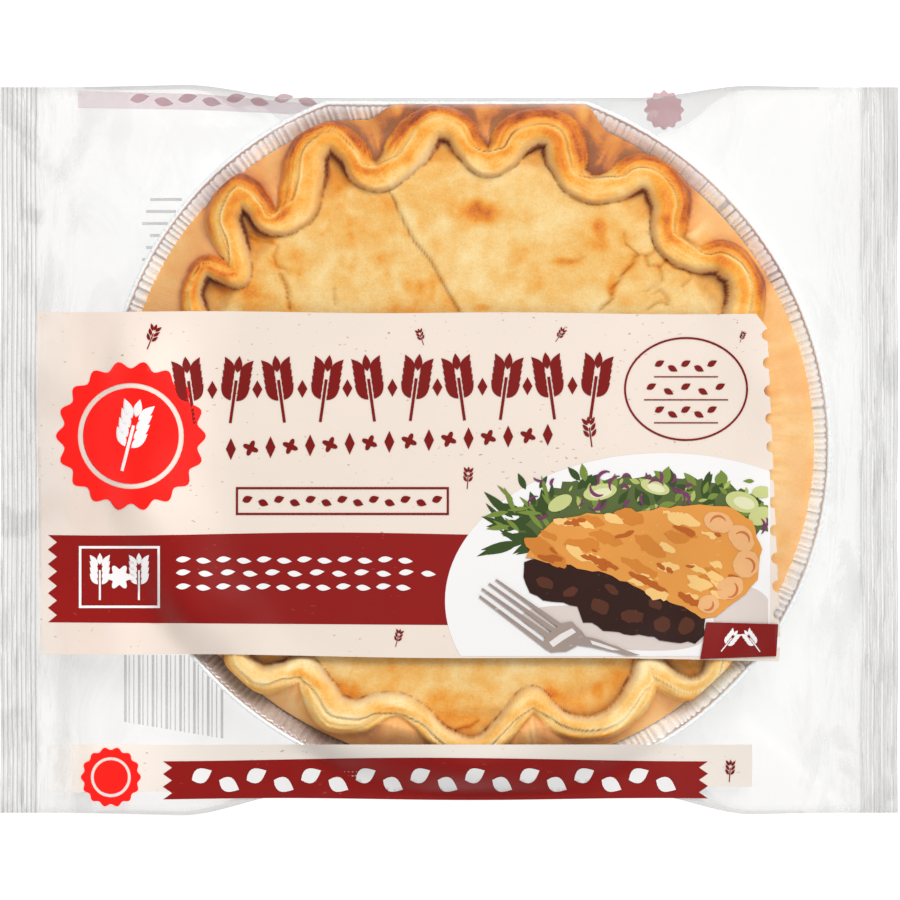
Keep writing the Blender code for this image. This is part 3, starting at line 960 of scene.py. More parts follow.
def lid_surface(x, y):
    """The lid's height, how far it is baked, and the painted shade in its cracks and along its sheet's edge.
    """
    u, v = as_seen(x, y, LID_LEVEL)
    height = LID_LEVEL + 0.55 * cloud(x, y, 34, 81) + 0.20 * cloud(x, y, 9, 85)
    bake = 0.24 + 0.17 * cloud(x, y, 24, 91) + 0.12 * cloud(x, y, 7, 95)
    for spot_u, spot_v, half_u, half_v, more in LID_PATCHES:
        shape = np.hypot((u - spot_u) / half_u, (v - spot_v) / half_v) + 0.35 * cloud(x, y, 7, 99)
        bake = bake + more * smooth(1.35 - shape)
    apart, side = line_distance(SHEET_EDGE, u, v)
    left = side > 0
    flaky = left * (v < FLAKES_SEEN_TO)
    height = height + np.where(left, 0.0, 0.75 * smooth(apart / 2.5))
    height = height + flaky * 0.22 * cloud(x, y, 3.4, 103, layers=4)
    bake = bake + np.where(left, 0.07, -0.08 * hump(apart - 6, 7))
    bake = bake + flaky * 0.16 * smooth(cloud(x, y, 4.0, 107) * 1.6 - 0.25)
    # Painted shade along the sheet's edge, and further down in each crack.
    crack_shade = 0.55 * hump(apart, 1.1) * (v < EDGE_SEEN_TO)
    wander = 1.2 * patches(x, y, 2.5, 111)
    for depth, line in LID_CRACKS:
        near = (np.abs(u - line[0][0]) < CRACK_REACH) & (np.abs(v - line[0][1]) < CRACK_REACH)
        apart, _ = line_distance(line, u + wander, v + wander)
        height = height - near * (depth * 1.4 * hump(apart, 1.6) - 0.25 * depth * hump(apart - 4, 3))
        crack_shade = crack_shade + near * depth * 0.9 * hump(apart, 1.15)
        bake = bake + near * depth * 0.25 * hump(apart, 4.5)
    height = height - 0.8 * hump(np.hypot(u - LID_DIMPLE[0], v - LID_DIMPLE[1]), 7)
    return height, bake, np.clip(crack_shade, 0, 1)


def overhang(angle):
    """Where the crust hangs over the tin's rim, from 0 to 1: only at its far side."""
    return smooth((21.5 - np.abs(np.degrees(angle) % 360 - 86.5)) / 6)


def crust_edge(angle):
    """The distance and height at which the crust's wall ends: at the tin's wall, or over its rim."""
    rim = tin_rim(angle)
    side = np.degrees(angle) % 360
    fuller = 1.5 * smooth(1 - np.abs((side + 180) % 360 - 180) / 48) - 0.9 * hump(side - 250, 40)
    fuller = fuller + 1.5 * smooth(1.3 - np.abs(side - 160) / 30)
    wall = tin_wall(rim, PASTRY_MEETS_TIN) - 0.7 + fuller
    wall = np.minimum(wall, tin_wall(rim, 31.0) - 0.6)
    over_rim = overhang(angle)
    return mix(wall, rim - 1.0, over_rim), mix(PASTRY_MEETS_TIN, TIN_RIM_HEIGHT + 0.4, over_rim)


def crust_places():
    """Rings of places over the crust, with where each lies on the pie and about its rope.

    Across is the place's distance from the rope's middle line in half widths, outwards positive,
    along its step on that line, and crest how near it is to the crest of a flute.
    """
    angle = round_angles(CRUST_ANGLES)
    side = np.degrees(angle) % 360
    outer, meets = crust_edge(angle)
    distance = mix(CRUST_INNER, outer[None, :], np.linspace(0, 1, CRUST_RINGS)[:, None])
    at = SimpleNamespace(distance=distance, outer=outer[None, :], meets=meets[None, :])
    at.angle = np.broadcast_to(angle, distance.shape)
    at.x, at.y = at_polar(at.angle, distance)
    at.u, at.v = as_seen(at.x, at.y, MIDDLE_LEVEL)
    at.near_front = smooth((at.v - FRONT_FROM) / 120)
    at.far_side = smooth((38 - np.abs(side - FAR_SHADED_SIDE)) / 9)
    at.left_front = smooth((15 - np.abs(side - SHADED_SIDE)) / 8)
    offset, width, at.crest, at.along = beside_rope(angle, distance)
    width = width * (1 + 0.11 * swells(at.along / 38, 143))
    at.across = offset / width + 0.06 * cloud(at.x, at.y, 4.5, 145)
    at.from_rope = np.clip(-offset - width, 0, None)
    at.on_rope = np.abs(at.across) < 1
    at.inside = at.across <= -1
    at.outside = at.across >= 1
    return at


def fold_rope(at):
    """Adds the seam between the rope's two layers, a fold in the outer one, strands and dents."""
    seam_at = mix(0.72, 0.16, smooth(at.crest * 1.6)) + 0.12 * swells(at.along / 45, 127)
    at.past_seam = at.across - seam_at
    at.seam = hump(at.past_seam, 0.045) * np.clip(0.6 + 0.8 * swells(at.along / 26, 129), 0, 1)
    past_fold = at.past_seam - 0.34 - 0.16 * swells(at.along / 52, 147)
    at.fold = hump(past_fold, 0.035) * np.clip(1.6 * swells(at.along / 64, 149), 0, 1)
    at.strands = patches(at.across * 12, at.along / 60, 1.0, 130) * smooth((at.past_seam + 0.1) / 0.2)
    at.fine_strands = patches(at.across * 26, at.along / 40, 1.0, 132) * (1 - 0.6 * at.crest)
    at.dents = cloud(at.x, at.y, 7, 131)


def fold_wall(at):
    """Adds the wrinkles and gathers of the crust's outer wall, painted shade on its far side, and its
    notches and pockets.
    """
    at.wrinkles = patches(at.angle * 95, at.distance / 9, 1.0, 151) * smooth((100.5 - at.distance) / 7)
    at.gathers = cloud(at.angle * 26, at.distance / 11, 1.0, 159) * smooth((103 - at.distance) / 6)
    at.gathers = at.gathers * at.near_front
    # Painted shade on the far side's wall, weaker towards the tin.
    at.browned = at.far_side * (0.85 + 0.35 * cloud(at.x, at.y, 9, 157))
    at.browned = at.browned * mix(1.0, 0.72, smooth((at.distance - 95) / 9))
    at.notch = hump(at.across - 1.02, 0.22) * smooth((92.5 - at.distance) / 5)
    at.notch = at.notch * smooth((at.distance - 83) / 3)
    at.pocket = smooth((at.distance - ROPE_VALLEY + 4.0) / 5.5) * (at.across < 0)
    at.flap = hump(line_distance(TORN_STRIP, at.u, at.v)[0], 2.0) * at.inside


def rope_height(at, ground):
    """The height of the rope, which rounds up from the ground that it lies on."""
    crown = CRUST_HEIGHT - 0.95 - 0.9 * (1 - at.crest) + 0.30 * swells(at.along / 70, 125)
    crown = crown - 0.9 * at.near_front
    inner_body = np.clip(1 - np.abs(at.across) ** 3.6, 0, 1) ** 0.60
    outer_body = np.clip(1 - np.abs(at.across) ** 3.0, 0, 1) ** 0.50
    body = np.where(at.across < 0, inner_body, outer_body)
    folded = at.seam + 0.95 * smooth(at.past_seam / 0.08) + 0.35 * at.fold
    rough = 0.80 * at.dents + 0.46 * at.strands + 0.12 * at.fine_strands
    return mix(ground, crown, body) + (rough - folded) * body


def crust_height(at, lid):
    """The height of the crust: its rope, the pockets inside it and its wall down to the tin."""
    down = np.clip((at.distance - WALL_FROM) / (at.outer - WALL_FROM), 0, 1)
    wall = mix(WALL_LEVEL, at.meets, down**1.25) + 0.35 * cloud(at.x, at.y, 14, 121) * (1 - down)
    deep = (3.4 + 1.2 * swells(at.angle * 5.4, 123)) * mix(1.0, 0.5, at.near_front)
    ground = np.where(at.across < 0, lid - deep * at.pocket, wall)
    ceiling = film_top(at.x, at.y) - UNDER_FILM
    height = np.minimum(np.where(at.on_rope, rope_height(at, ground), ground), ceiling)
    height = height + np.where(at.outside, 0.22 * at.wrinkles + 0.9 * at.gathers, 0.0)
    return np.minimum(height, ceiling) + 1.5 * at.flap


def rope_bake(at):
    """Rope bake: golden inside its seam, toasted outside it and at crests, with painted highlight and shade.
    """
    patchy = cloud(at.along / 8, at.across * 5, 8.0, 133)
    drift = swells(at.along / 90, 141)
    golden = 0.33 + (0.28 + 0.18 * drift) * hump(at.past_seam + 0.40, 0.36) + 0.24 * patchy
    golden = golden - 0.10 * smooth((-at.across - 0.60) / 0.25) * (1 + drift)
    at_crest = (0.60 + 0.14 * drift) * at.crest**1.8 * (1 - 0.55 * at.near_front)
    toasted = 0.40 + at_crest * hump(at.across - 0.74, 0.36) + 0.18 * patchy + 0.10 * at.strands
    # A little painted shade on the far side, and in the fold of the outer layer.
    toasted = np.minimum(toasted + 0.03 * at.far_side + 0.12 * at.fold, MOST_TOASTED)
    bake = mix(golden, toasted, smooth(at.past_seam / 0.12))
    bake = bake - at.near_front * (0.15 + 0.14 * hump(at.across, 0.6))
    # A painted highlight along the inner layer's edge, beside the seam.
    edge_highlight = hump(at.past_seam + 0.09, 0.06) * np.clip(0.55 + 0.9 * swells(at.along / 34, 165), 0, 1)
    return bake - 0.26 * edge_highlight + 0.10 * at.fine_strands + 0.10 * at.dents


def wall_bake(at):
    """How far the crust's outer wall is baked, with painted light and painted shade added."""
    # Painted light lightens the wall's right side, and painted shade darkens its left side.
    bake = 0.36 + 0.14 * cloud(at.x, at.y, 12, 137) - 0.12 * np.cos(at.angle) * (at.distance > 88)
    bake = bake + 0.14 * at.wrinkles + 0.22 * smooth(cloud(at.x, at.y, 8, 155) * 1.8 - 0.3)
    # Painted shade on the far side, and painted light on the shaded near left side.
    bake = bake + 0.40 * at.browned - 0.22 * at.left_front
    # Painted shade on the wall beside the rope's foot.
    bake = bake + 0.20 * hump(at.across - 1.1, 0.35) * at.crest + 0.20 * hump(at.across - 1.0, 0.30)
    streaky = patches(at.angle * 34, at.distance / 16, 1.0, 161) + 0.6 * cloud(at.x, at.y, 7, 163)
    return bake + 0.12 * at.gathers + 0.15 * streaky


def crust_crack_shade(at, crack_shade):
    """Painted shade on the crust: dark in its seam, at its foot, in its pockets and between its flutes."""
    foot = hump(at.across + 1.03, 0.07) * smooth(patches(at.x, at.y, 1.3, 135) * 2 + 0.6)
    foot = foot * (at.distance < 90)
    slit = hump(at.from_rope, 1.1) + 0.35 * hump(at.from_rope, 3.0)
    slit = slit * smooth((at.distance - 84.5) / 6.0) * (at.across < -0.92) * mix(1.0, 0.45, at.near_front)
    notch = at.notch * mix(1.0, 0.4, at.near_front)
    crack_shade = np.where(at.on_rope, 0.9 * at.seam, crack_shade * (at.across < 0))
    return np.clip(crack_shade + 0.6 * foot + 0.85 * slit + 0.7 * notch, 0, 1) * (1 - 0.9 * at.flap)


def crust_masks(at, bake, crack_shade):
    """How far the crust is baked, darkened by painted shade, peach-coloured and lightened by painted light.
    """
    # The pockets are painted darker, as painted shade.
    bake = np.where(at.on_rope, rope_bake(at), bake + 0.16 * at.pocket)
    bake = np.where(at.outside, wall_bake(at), bake)
    # Painted warm bounce light on the rope's shaded flanks, inside its seam; the wall's peach is its own
    # colour.
    rope_peach = 0.30 * smooth((np.abs(at.across) - 0.45) / 0.4) * (at.past_seam < 0)
    wall_peach = (0.60 + 0.28 * cloud(at.x, at.y, 10, 153)) * (1 - 0.5 * at.notch)
    wall_peach = wall_peach * np.clip(1 - 0.80 * at.browned, 0.1, 1) * at.outside
    # Painted light: the rope more than its pockets and less beyond its seam, the wall more on the shaded
    # side.
    rope_painted_light = mix(0.4, 1.0 - 0.25 * smooth(at.past_seam / 0.12), smooth((at.across + 1.0) / 0.3))
    wall_painted_light = 0.62 * np.clip(1 - 0.9 * at.browned, 0, 1) + 0.6 * at.left_front
    painted_light = np.where(at.outside, wall_painted_light, np.where(at.on_rope, rope_painted_light, 0.4))
    # Painted light on the near side, more of it towards the right.
    lit_front = 0.40 * at.near_front * mix(0.6, 1.5, smooth((at.u - FRONT_LIT_FROM) / 80))
    return {
        "bake": np.clip(mix(bake, 0.60, at.flap), 0, 1),
        "crack_shade": crust_crack_shade(at, crack_shade),
        "peach": np.where(at.on_rope, rope_peach, wall_peach),
        "painted_light": painted_light + lit_front * ~at.inside,
    }


def build_crust(material):
    """The ring of crust, closed underneath along the tin's wall and its base."""
    at = crust_places()
    fold_rope(at)
    fold_wall(at)
    lid, bake, crack_shade = lid_surface(at.x, at.y)
    rings = [np.stack([at.x, at.y, crust_height(at, lid)], axis=-1)]
    angle = round_angles(CRUST_ANGLES)

    def close_at(distance, z):
        z = np.broadcast_to(z, angle.shape)
        rings.append(np.stack([*at_polar(angle, distance), z], axis=-1)[None])

    for z in (mix(26.5, 31.2, overhang(angle)), 17.0, PIE_UNDERSIDE):
        close_at(tin_wall(tin_rim(angle), z) - 0.8, z)
    close_at(CRUST_INNER, PIE_UNDERSIDE)
    points = np.concatenate(rings)
    faces = grid_faces(len(points), CRUST_ANGLES, wrap_rows=True, wrap_columns=True, flip=True)
    masks = {}
    for name, value in crust_masks(at, bake, crack_shade).items():
        unseen = np.full((len(rings) - 1) * CRUST_ANGLES, 0.4 if name == "bake" else 0.0)
        masks[name] = np.concatenate([value.ravel(), unseen])
    return make_piece("pie_crust", points.reshape(-1, 3), faces, material, masks)


# The lid's rings: points in each, distance of the first and the last, and how many there are.
LID_STAGES = ((1280, 75.0, 75.0, 1), (640, 74.2, 38.0, 34), (320, 37.0, 16.0, 18), (160, 15.0, 1.5, 10))


def build_lid(material):
    """The lid inside the crust: rings of points that halve in number towards the middle."""
    points, faces, rings = [], [], []
    for count, first, last, number in LID_STAGES:
        for distance in np.linspace(first, last, number):
            rings.append((sum(len(ring) for ring in points), count))
            points.append(np.stack(at_polar(round_angles(count), distance), axis=-1))
    for (start, count), (inner, inner_count) in zip(rings, rings[1:]):
        i = np.arange(inner_count)
        j = (i + 1) % inner_count
        if count == inner_count:
            faces += np.stack([start + i, start + j, inner + j, inner + i], axis=1).tolist()
            continue
        a, b, c = start + 2 * i, start + 2 * i + 1, start + (2 * i + 2) % count
        for corners in ((a, b, inner + i), (b, inner + j, inner + i), (b, c, inner + j)):
            faces += np.stack(corners, axis=1).tolist()
    flat = np.concatenate(points)
    height, bake, crack_shade = lid_surface(flat[:, 0], flat[:, 1])
    top = np.column_stack([flat, height])
    start, count = rings[-1]
    faces.append(list(range(start, start + count)))
    below, number = len(top), LID_STAGES[0][0]
    edge = top[:number].copy()
    edge[:, 2] = PIE_UNDERSIDE
    i = np.arange(number)
    j = (i + 1) % number
    faces += np.stack([i, below + i, below + j, j], axis=1).tolist()
    faces.append(list(range(below + number - 1, below - 1, -1)))
    # The lid gets an even share of painted light.
    masks = {"bake": bake, "crack_shade": crack_shade, "peach": np.zeros(below), "painted_light": np.full(below, 0.4)}
    for name, value in masks.items():
        masks[name] = np.concatenate([np.clip(value, 0, 1), np.full(number, 0.3)])
    return make_piece("pie_lid", np.concatenate([top, edge]), faces, material, masks)


# The print, laid out in the picture's pixels.

_, _, _, FILM_TOP, FILM_UNDER = film_grid()
PRINT_CELL = 4.0
INK_THICKNESS = 0.03
OVERLAP_LIFT = 0.0012
# How far each layer of ink stands above the film, which itself is 0.1 mm over its middle.
LABEL_LEVEL = 0.20
FIELD_LEVEL = 0.27
PLATE_LEVEL = 0.34
ORNAMENT_LEVEL = 0.46
TAG_LEVEL = 1.14
TOP_LEVEL = 1.20
OVERLAP_STEPS = 40


def is_within(loop, u, v):
    """Whether places lie inside a closed loop."""
    inside = np.zeros(np.shape(u), dtype=bool)
    for (u0, v0), (u1, v1) in zip(loop, loop[1:] + loop[:1]):
        if v0 != v1:
            crosses = ((v0 > v) != (v1 > v)) & (u < (u1 - u0) * (v - v0) / (v1 - v0) + u0)
            inside ^= crosses
    return inside


def fill_shape(loop, holes):
    """Triangles that fill a loop apart from its holes, with inner points every cell."""

    def is_filled(u, v):
        filled = is_within(loop, u, v)
        for hole in holes:
            filled &= ~is_within(hole, u, v)
        return filled

    spots, edges = [], []
    for ring in (loop, *holes):
        start = len(spots)
        for (u0, v0), (u1, v1) in zip(ring, ring[1:] + ring[:1]):
            steps = max(1, int(math.hypot(u1 - u0, v1 - v0) / PRINT_CELL))
            spots += [(mix(u0, u1, k / steps), mix(v0, v1, k / steps)) for k in range(steps)]
        count = len(spots) - start
        edges += [(start + k, start + (k + 1) % count) for k in range(count)]
    low, high = np.min(spots, axis=0), np.max(spots, axis=0)
    inner = [np.arange(low[axis] + PRINT_CELL / 2, high[axis], PRINT_CELL) for axis in (0, 1)]
    u, v = (part.ravel() for part in np.meshgrid(*inner))
    kept = is_filled(u, v)
    spots += list(zip(u[kept], v[kept]))
    cut = delaunay_2d_cdt([Vector(spot) for spot in spots], edges, [], 0, 1e-4)
    flat = np.array([(spot.x, spot.y) for spot in cut[0]])
    triangles = np.array(cut[2])
    middle = flat[triangles].mean(axis=1)
    return flat, triangles[is_filled(middle[:, 0], middle[:, 1])].tolist()


def print_sheet(name, shapes, level, material, under=False):
    """Ink in flat shapes, each a loop or a loop with its holes, on the outer face of the film."""
    flat, triangles, lifts = [], [], []
    for shape in shapes:
        loop, holes = shape if isinstance(shape, tuple) else (shape, [])
        spots, faces = fill_shape(loop, holes)
        start = sum(len(part) for part in flat)
        triangles += [[corner + start for corner in face] for face in faces]
        lifts.append(np.full(len(spots), OVERLAP_LIFT * (len(flat) % OVERLAP_STEPS)))
        flat.append(spots)
    flat = np.concatenate(flat)
    level = level + np.concatenate(lifts)
    film = FILM_UNDER if under else FILM_TOP
    x, y, z = on_film(flat[:, 0], flat[:, 1], lambda x, y: read_grid(film, x, y))
    out = -1 if under else 1
    outer = np.column_stack([x, y, z + out * level])
    inner = outer - np.array([0, 0, out * INK_THICKNESS])
    count = len(outer)
    if out > 0:
        triangles = [face[::-1] for face in triangles]
    sides = {(a, b) for face in triangles for a, b in zip(face, face[1:] + face[:1])}
    faces = triangles + [[corner + count for corner in face[::-1]] for face in triangles]
    faces += [[b, a, a + count, b + count] for a, b in sorted(sides) if (b, a) not in sides]
    return make_piece(name, np.concatenate([outer, inner]), faces, material)


def turned_place(u, v, turn, along, across):
    """The place so far along and across a direction from a spot."""
    return (u + along * math.cos(turn) - across * math.sin(turn),
            v + along * math.sin(turn) + across * math.cos(turn))


def oval(u, v, half_u, half_v, count=48, turn=0.0):
    angles = [2 * math.pi * k / count for k in range(count)]
    return [turned_place(u, v, turn, half_u * math.cos(angle), half_v * math.sin(angle)) for angle in angles]


def petalled(u, v, radius, petals, depth, turn=0.0):
    """A round shape with an even number of soft petals or scallops round its edge."""
    count = petals * 8
    loop = []
    for k in range(count):
        angle = 2 * math.pi * k / count
        reach = radius * (1 - depth * (0.5 - 0.5 * math.cos(petals * angle)))
        loop.append((u + reach * math.cos(angle + turn), v + reach * math.sin(angle + turn)))
    return loop


def leaf(u, v, length, width, turn, steps=7):
    """A pointed leaf that starts at a place and grows in a direction."""
    loop = []
    for side in (1, -1):
        for k in range(steps):
            t = k / steps if side > 0 else 1 - k / steps
            across = side * width / 2 * math.sin(math.pi * t**0.85)
            loop.append(turned_place(u, v, turn, length * t, across))
    return loop


def leaf_row(count, first, step, v, length, width, lean):
    """Leaves in a row that lean up and down by turns; first is where the first one starts."""
    return [leaf(first + step * k, v, length, width, lean if k % 2 else -lean) for k in range(count)]


def box(low_u, low_v, high_u, high_v):
    return [(low_u, low_v), (high_u, low_v), (high_u, high_v), (low_u, high_v)]


def outlined_box(low_u, low_v, high_u, high_v, line):
    """The frame of a box, as thick as its line."""
    return box(low_u, low_v, high_u, high_v), [box(low_u + line, low_v + line, high_u - line, high_v - line)]


def diamond(u, v, half_u, half_v):
    return [(u - half_u, v), (u, v - half_v), (u + half_u, v), (u, v + half_v)]


def rosette(u, v, radius, scallops, ring, middle):
    """A scalloped disc with a ring left bare round its middle."""
    return [(petalled(u, v, radius, scallops, 0.10), [oval(u, v, ring, ring)]), oval(u, v, middle, middle)]


def wheat_ear(u, v, height, turn=-math.pi / 2, rows=4):
    """A plain ear of wheat: a stem, pairs of leaf-shaped grains and one at its tip."""
    def place(along, across):
        return turned_place(u, v, turn, along * height, across * height)

    grain = height * 0.30
    loops = [[place(-0.5, -0.022), place(0.15, -0.022), place(0.15, 0.022), place(-0.5, 0.022)]]
    for row in range(rows):
        for side in (1, -1):
            start = place(mix(-0.16, 0.24, row / (rows - 1)), side * 0.045)
            loops.append(leaf(*start, grain, grain * 0.42, turn + side * 0.62))
    loops.append(leaf(*place(0.27, 0), grain * 0.85, grain * 0.40, turn))
    return loops


def torn_ribbon(left, right, top, bottom, teeth, right_bite, left_bite, steps=24):
    """A ribbon with notched ends; top and bottom are functions of u."""
    loop = []
    for end, start, edge, other, bite in ((right, left, top, bottom, -right_bite),
                                          (left, right, bottom, top, left_bite)):
        for k in range(steps + 1):
            u = mix(start, end, k / steps)
            loop.append((u, edge(u)))
        for k in range(1, 2 * teeth):
            v = mix(edge(end), other(end), k / (2 * teeth))
            loop.append((end + (bite if k % 2 else 0), v))
    return loop


def keep_within(loop, low_u, low_v, high_u, high_v):
    """The part of a loop inside an upright box."""
    for axis, limit, sign in ((0, low_u, 1), (0, high_u, -1), (1, low_v, 1), (1, high_v, -1)):
        kept = []
        for a, b in zip(loop, loop[1:] + loop[:1]):
            a_in, b_in = sign * (a[axis] - limit) >= 0, sign * (b[axis] - limit) >= 0
            if a_in:
                kept.append(a)
            if a_in != b_in:
                t = (limit - a[axis]) / (b[axis] - a[axis])
                kept.append((mix(a[0], b[0], t), mix(a[1], b[1], t)))
        loop = kept
    return loop


LABEL_LEFT, LABEL_TOP, LABEL_BOTTOM = 36, 313, 654
LABEL_RIGHT_TOP, LABEL_RIGHT_BOTTOM = 767, 781
LABEL_BITES = 12
BITE_RADIUS = 6.0


def label_outline():
    """The label: nearly straight above and below, with round bites out of its right edge."""
    loop = []
    for u in range(LABEL_LEFT, LABEL_RIGHT_TOP - 4, 9):
        loop.append((u, LABEL_TOP - 2 + 3.0 * (u / 760) + 0.7 * math.sin(u / 47)))
    for k in range(LABEL_BITES):
        share = (k + 0.5) / LABEL_BITES
        centre_v = mix(LABEL_TOP + 8, LABEL_BOTTOM + 2, share)
        centre_u = mix(LABEL_RIGHT_TOP, LABEL_RIGHT_BOTTOM, share)
        for step in range(7):
            angle = -math.pi / 2 - math.pi * step / 6
            loop.append((centre_u + BITE_RADIUS * math.cos(angle), centre_v + BITE_RADIUS * math.sin(angle)))
    for u in range(LABEL_RIGHT_BOTTOM - 2, LABEL_LEFT, -9):
        loop.append((u, LABEL_BOTTOM - 1 + 7.5 * (u / 780) + 0.8 * math.sin(u / 61 + 1)))
    return loop


# Places of the print in the picture: spots as u and v, boxes as left, top, right and bottom.
BANNER_ENDS, BANNER_TOP, BANNER_FOOT = (52, 752), 744.5, 789.5
RIBBON_ENDS, RIBBON_TOP, RIBBON_FOOT = (48, 470), 534, 622
BANNER_RIBBON_ENDS, BANNER_RIBBON_TOP, BANNER_RIBBON_FOOT = (163, 708), 759.5, 799
TITLE_FROM, TITLE_ROW = 190, 391
SECOND_FROM, SECOND_ROW = 231, 449
ROSETTE = (131, 436)
SMALL_ROSETTE = (111, 777)
BUBBLE = (686, 389)
BUBBLE_ROWS = ((366, 32), (389, 42), (412, 32))
STRIP_BOX = (236, 487, 449, 515)
STAMP_BOX = (79, 546, 160, 608)
STAMP_EARS, STAMP_FLOWER, STAMP_ROW = (100, 139), 119.5, 577
# The white rows of leaves: where they start, and each one's level and end.
WHITE_FROM = 176
WHITE_ROWS = ((560, 414), (573, 437), (587, 412))
BANNER_LEAVES = (192, 780)
# A row of leaves: how many, where it starts, its step and level, and each leaf's sizes and lean.
STRIP_LEAVES = (13, 242.5, 15.8, 501, 11, 7, 0.35)
TAG = [(706, 622), (778, 624), (776, 656), (700, 659)]
# Each ear's or sprig's place, height and direction.
TAG_EARS = ((729, 641, 26, -0.9), (752, 641, 26, -2.2))
SPRIGS = (
    (152, 337, 26, -1.2), (421, 337, 17, -1.9), (560, 335, 16, -1.0), (468, 478, 22, -1.5),
    (590, 432, 30, -1.7), (742, 337, 12, -1.2), (398, 638, 18, -1.3), (730, 771, 22, -1.5),
)

CREAM = tone(246, 231, 218)
PALE_CREAM = tone(246, 236, 226)
KRAFT = tone(196, 160, 124)
DARK_RED = tone(130, 18, 14)
RIBBON_RED = tone(148, 25, 22)
TAG_RED = tone(138, 26, 24)
BRIGHT_RED = tone(255, 30, 24, gain=1.10)
WHITE = tone(252, 250, 249)
LABEL_FADE = (-0.124, -0.096, 0.40)
BANNER_FADE = (-0.119, -0.108, 0.1)


def title_shapes():
    """A row of wheat ears that lean left and right by turns, with diamonds between them."""
    shapes = []
    for k in range(10):
        u = TITLE_FROM + 45 * k
        drop = 0.012 * (u - 180)
        shapes += wheat_ear(u, TITLE_ROW - drop, 66, turn=-math.pi / 2 + (0.14 if k % 2 else -0.14), rows=5)
        if k < 9:
            shapes.append(diamond(u + 22.5, TITLE_ROW - 1 - drop, 5, 9))
    return shapes


def second_row_shapes():
    """A row of diamonds and four-petalled flowers by turns."""
    shapes = []
    for k in range(17):
        u = SECOND_FROM + 19.8 * k
        v = SECOND_ROW - 0.045 * (u - 230)
        shapes.append(petalled(u, v, 8.2, 4, 0.55, 0.4) if k % 2 else diamond(u, v, 5, 11))
    return shapes


def bubble_shapes():
    """An oval line round three rows of leaves, each over a thin line."""
    u, v = BUBBLE
    shapes = [(oval(u, v, 62, 52, 72), [oval(u, v, 60, 50, 72)])]
    for row, half in BUBBLE_ROWS:
        shapes.append(box(u - half, row + 10.2, u + half, row + 11.4))
        shapes += leaf_row(5, u - 0.82 * half - 5, 0.41 * half, row, 11, 6, 0.5)
    return shapes


def white_rows():
    """Rows of leaves along the label's ribbon, and larger ones along the banner's."""
    shapes = []
    for v, end in WHITE_ROWS:
        shapes += leaf_row(12, WHITE_FROM, (end - 16 - WHITE_FROM) / 11, v, 15, 6.0, 0.10)
    u, v = BANNER_LEAVES
    for k in range(18):
        shapes.append(leaf(u + 27.3 * k, v - 0.004 * k, 22, 15, 0.45 if k % 2 else -0.45))
    return shapes


def build_print(ink_print):
    def ink(name, colour, fleck, amount, cloud, fade=None):
        return ink_material(name, ink_print, colour, fleck, amount, cloud, fade=fade)

    red = ink("dark_red_ink", DARK_RED, tone(170, 70, 60), 0.0, 0.16)
    ribbon = ink("ribbon_ink", RIBBON_RED, tone(196, 110, 96), 0.30, 0.20)
    bright = ink("bright_red_ink", BRIGHT_RED, tone(250, 150, 140), 0.0, 0.06)
    white = ink("white_ink", WHITE, tone(225, 220, 215), 0.0, 0.05)

    cream = ink("cream_ink", CREAM, KRAFT, 0.9, 0.10, LABEL_FADE)
    print_sheet("label", [label_outline()], LABEL_LEVEL, cream)
    banner = torn_ribbon(*BANNER_ENDS, lambda u: BANNER_TOP,
                         lambda u: BANNER_FOOT + 3 * math.cos(u / 220), 2, 0, 0)
    banner_ink = ink("banner_ink", PALE_CREAM, KRAFT, 0.7, 0.10, BANNER_FADE)
    print_sheet("banner", [banner], LABEL_LEVEL, banner_ink)
    strip = torn_ribbon(*RIBBON_ENDS, lambda u: RIBBON_TOP + 1.5 * math.sin(u / 70),
                        lambda u: RIBBON_FOOT + 3.0 * u / 450, 6, 0, 9)
    print_sheet("ribbon", [strip], FIELD_LEVEL, ribbon)
    low = torn_ribbon(*BANNER_RIBBON_ENDS, lambda u: BANNER_RIBBON_TOP + 1.8 * math.sin(u / 90),
                      lambda u: BANNER_RIBBON_FOOT + math.sin(u / 60), 3, 9, 9)
    print_sheet("banner_ribbon", [low], FIELD_LEVEL, ribbon)

    print_sheet("title_ornaments", title_shapes(), ORNAMENT_LEVEL, red)
    print_sheet("second_ornaments", second_row_shapes(), ORNAMENT_LEVEL, red)
    framed = [outlined_box(*STRIP_BOX, 2.2), *leaf_row(*STRIP_LEAVES)]
    print_sheet("strip_ornaments", framed, ORNAMENT_LEVEL, red)
    print_sheet("rosette", rosette(*ROSETTE, 75, 18, 53, 48), ORNAMENT_LEVEL, bright)
    ears = wheat_ear(*ROSETTE, 72, -math.pi / 2 + 0.25)
    print_sheet("rosette_ears", ears, ORNAMENT_LEVEL + 0.08, white)
    print_sheet("small_rosette", rosette(*SMALL_ROSETTE, 30, 14, 20, 17), ORNAMENT_LEVEL, bright)
    print_sheet("bubble_ornaments", bubble_shapes(), ORNAMENT_LEVEL, red)
    sprigs = sum((wheat_ear(*sprig, rows=3) for sprig in SPRIGS), [])
    print_sheet("sprig_ornaments", sprigs, ORNAMENT_LEVEL, red)
    stamp = [outlined_box(*STAMP_BOX, 2.5)]
    for u in STAMP_EARS:
        stamp += wheat_ear(u, STAMP_ROW, 46)
    stamp.append(petalled(STAMP_FLOWER, STAMP_ROW, 13, 6, 0.4))
    print_sheet("stamp_ornaments", stamp, ORNAMENT_LEVEL, white)
    print_sheet("white_ornaments", white_rows(), ORNAMENT_LEVEL, white)
    print_sheet("tag", [TAG], TAG_LEVEL, ink("tag_ink", TAG_RED, tone(170, 60, 50), 0.2, 0.12))
    ears = sum((wheat_ear(*ear) for ear in TAG_EARS), [])
    print_sheet("tag_ornaments", ears, TOP_LEVEL, white)
    build_serving(ink_print, white)


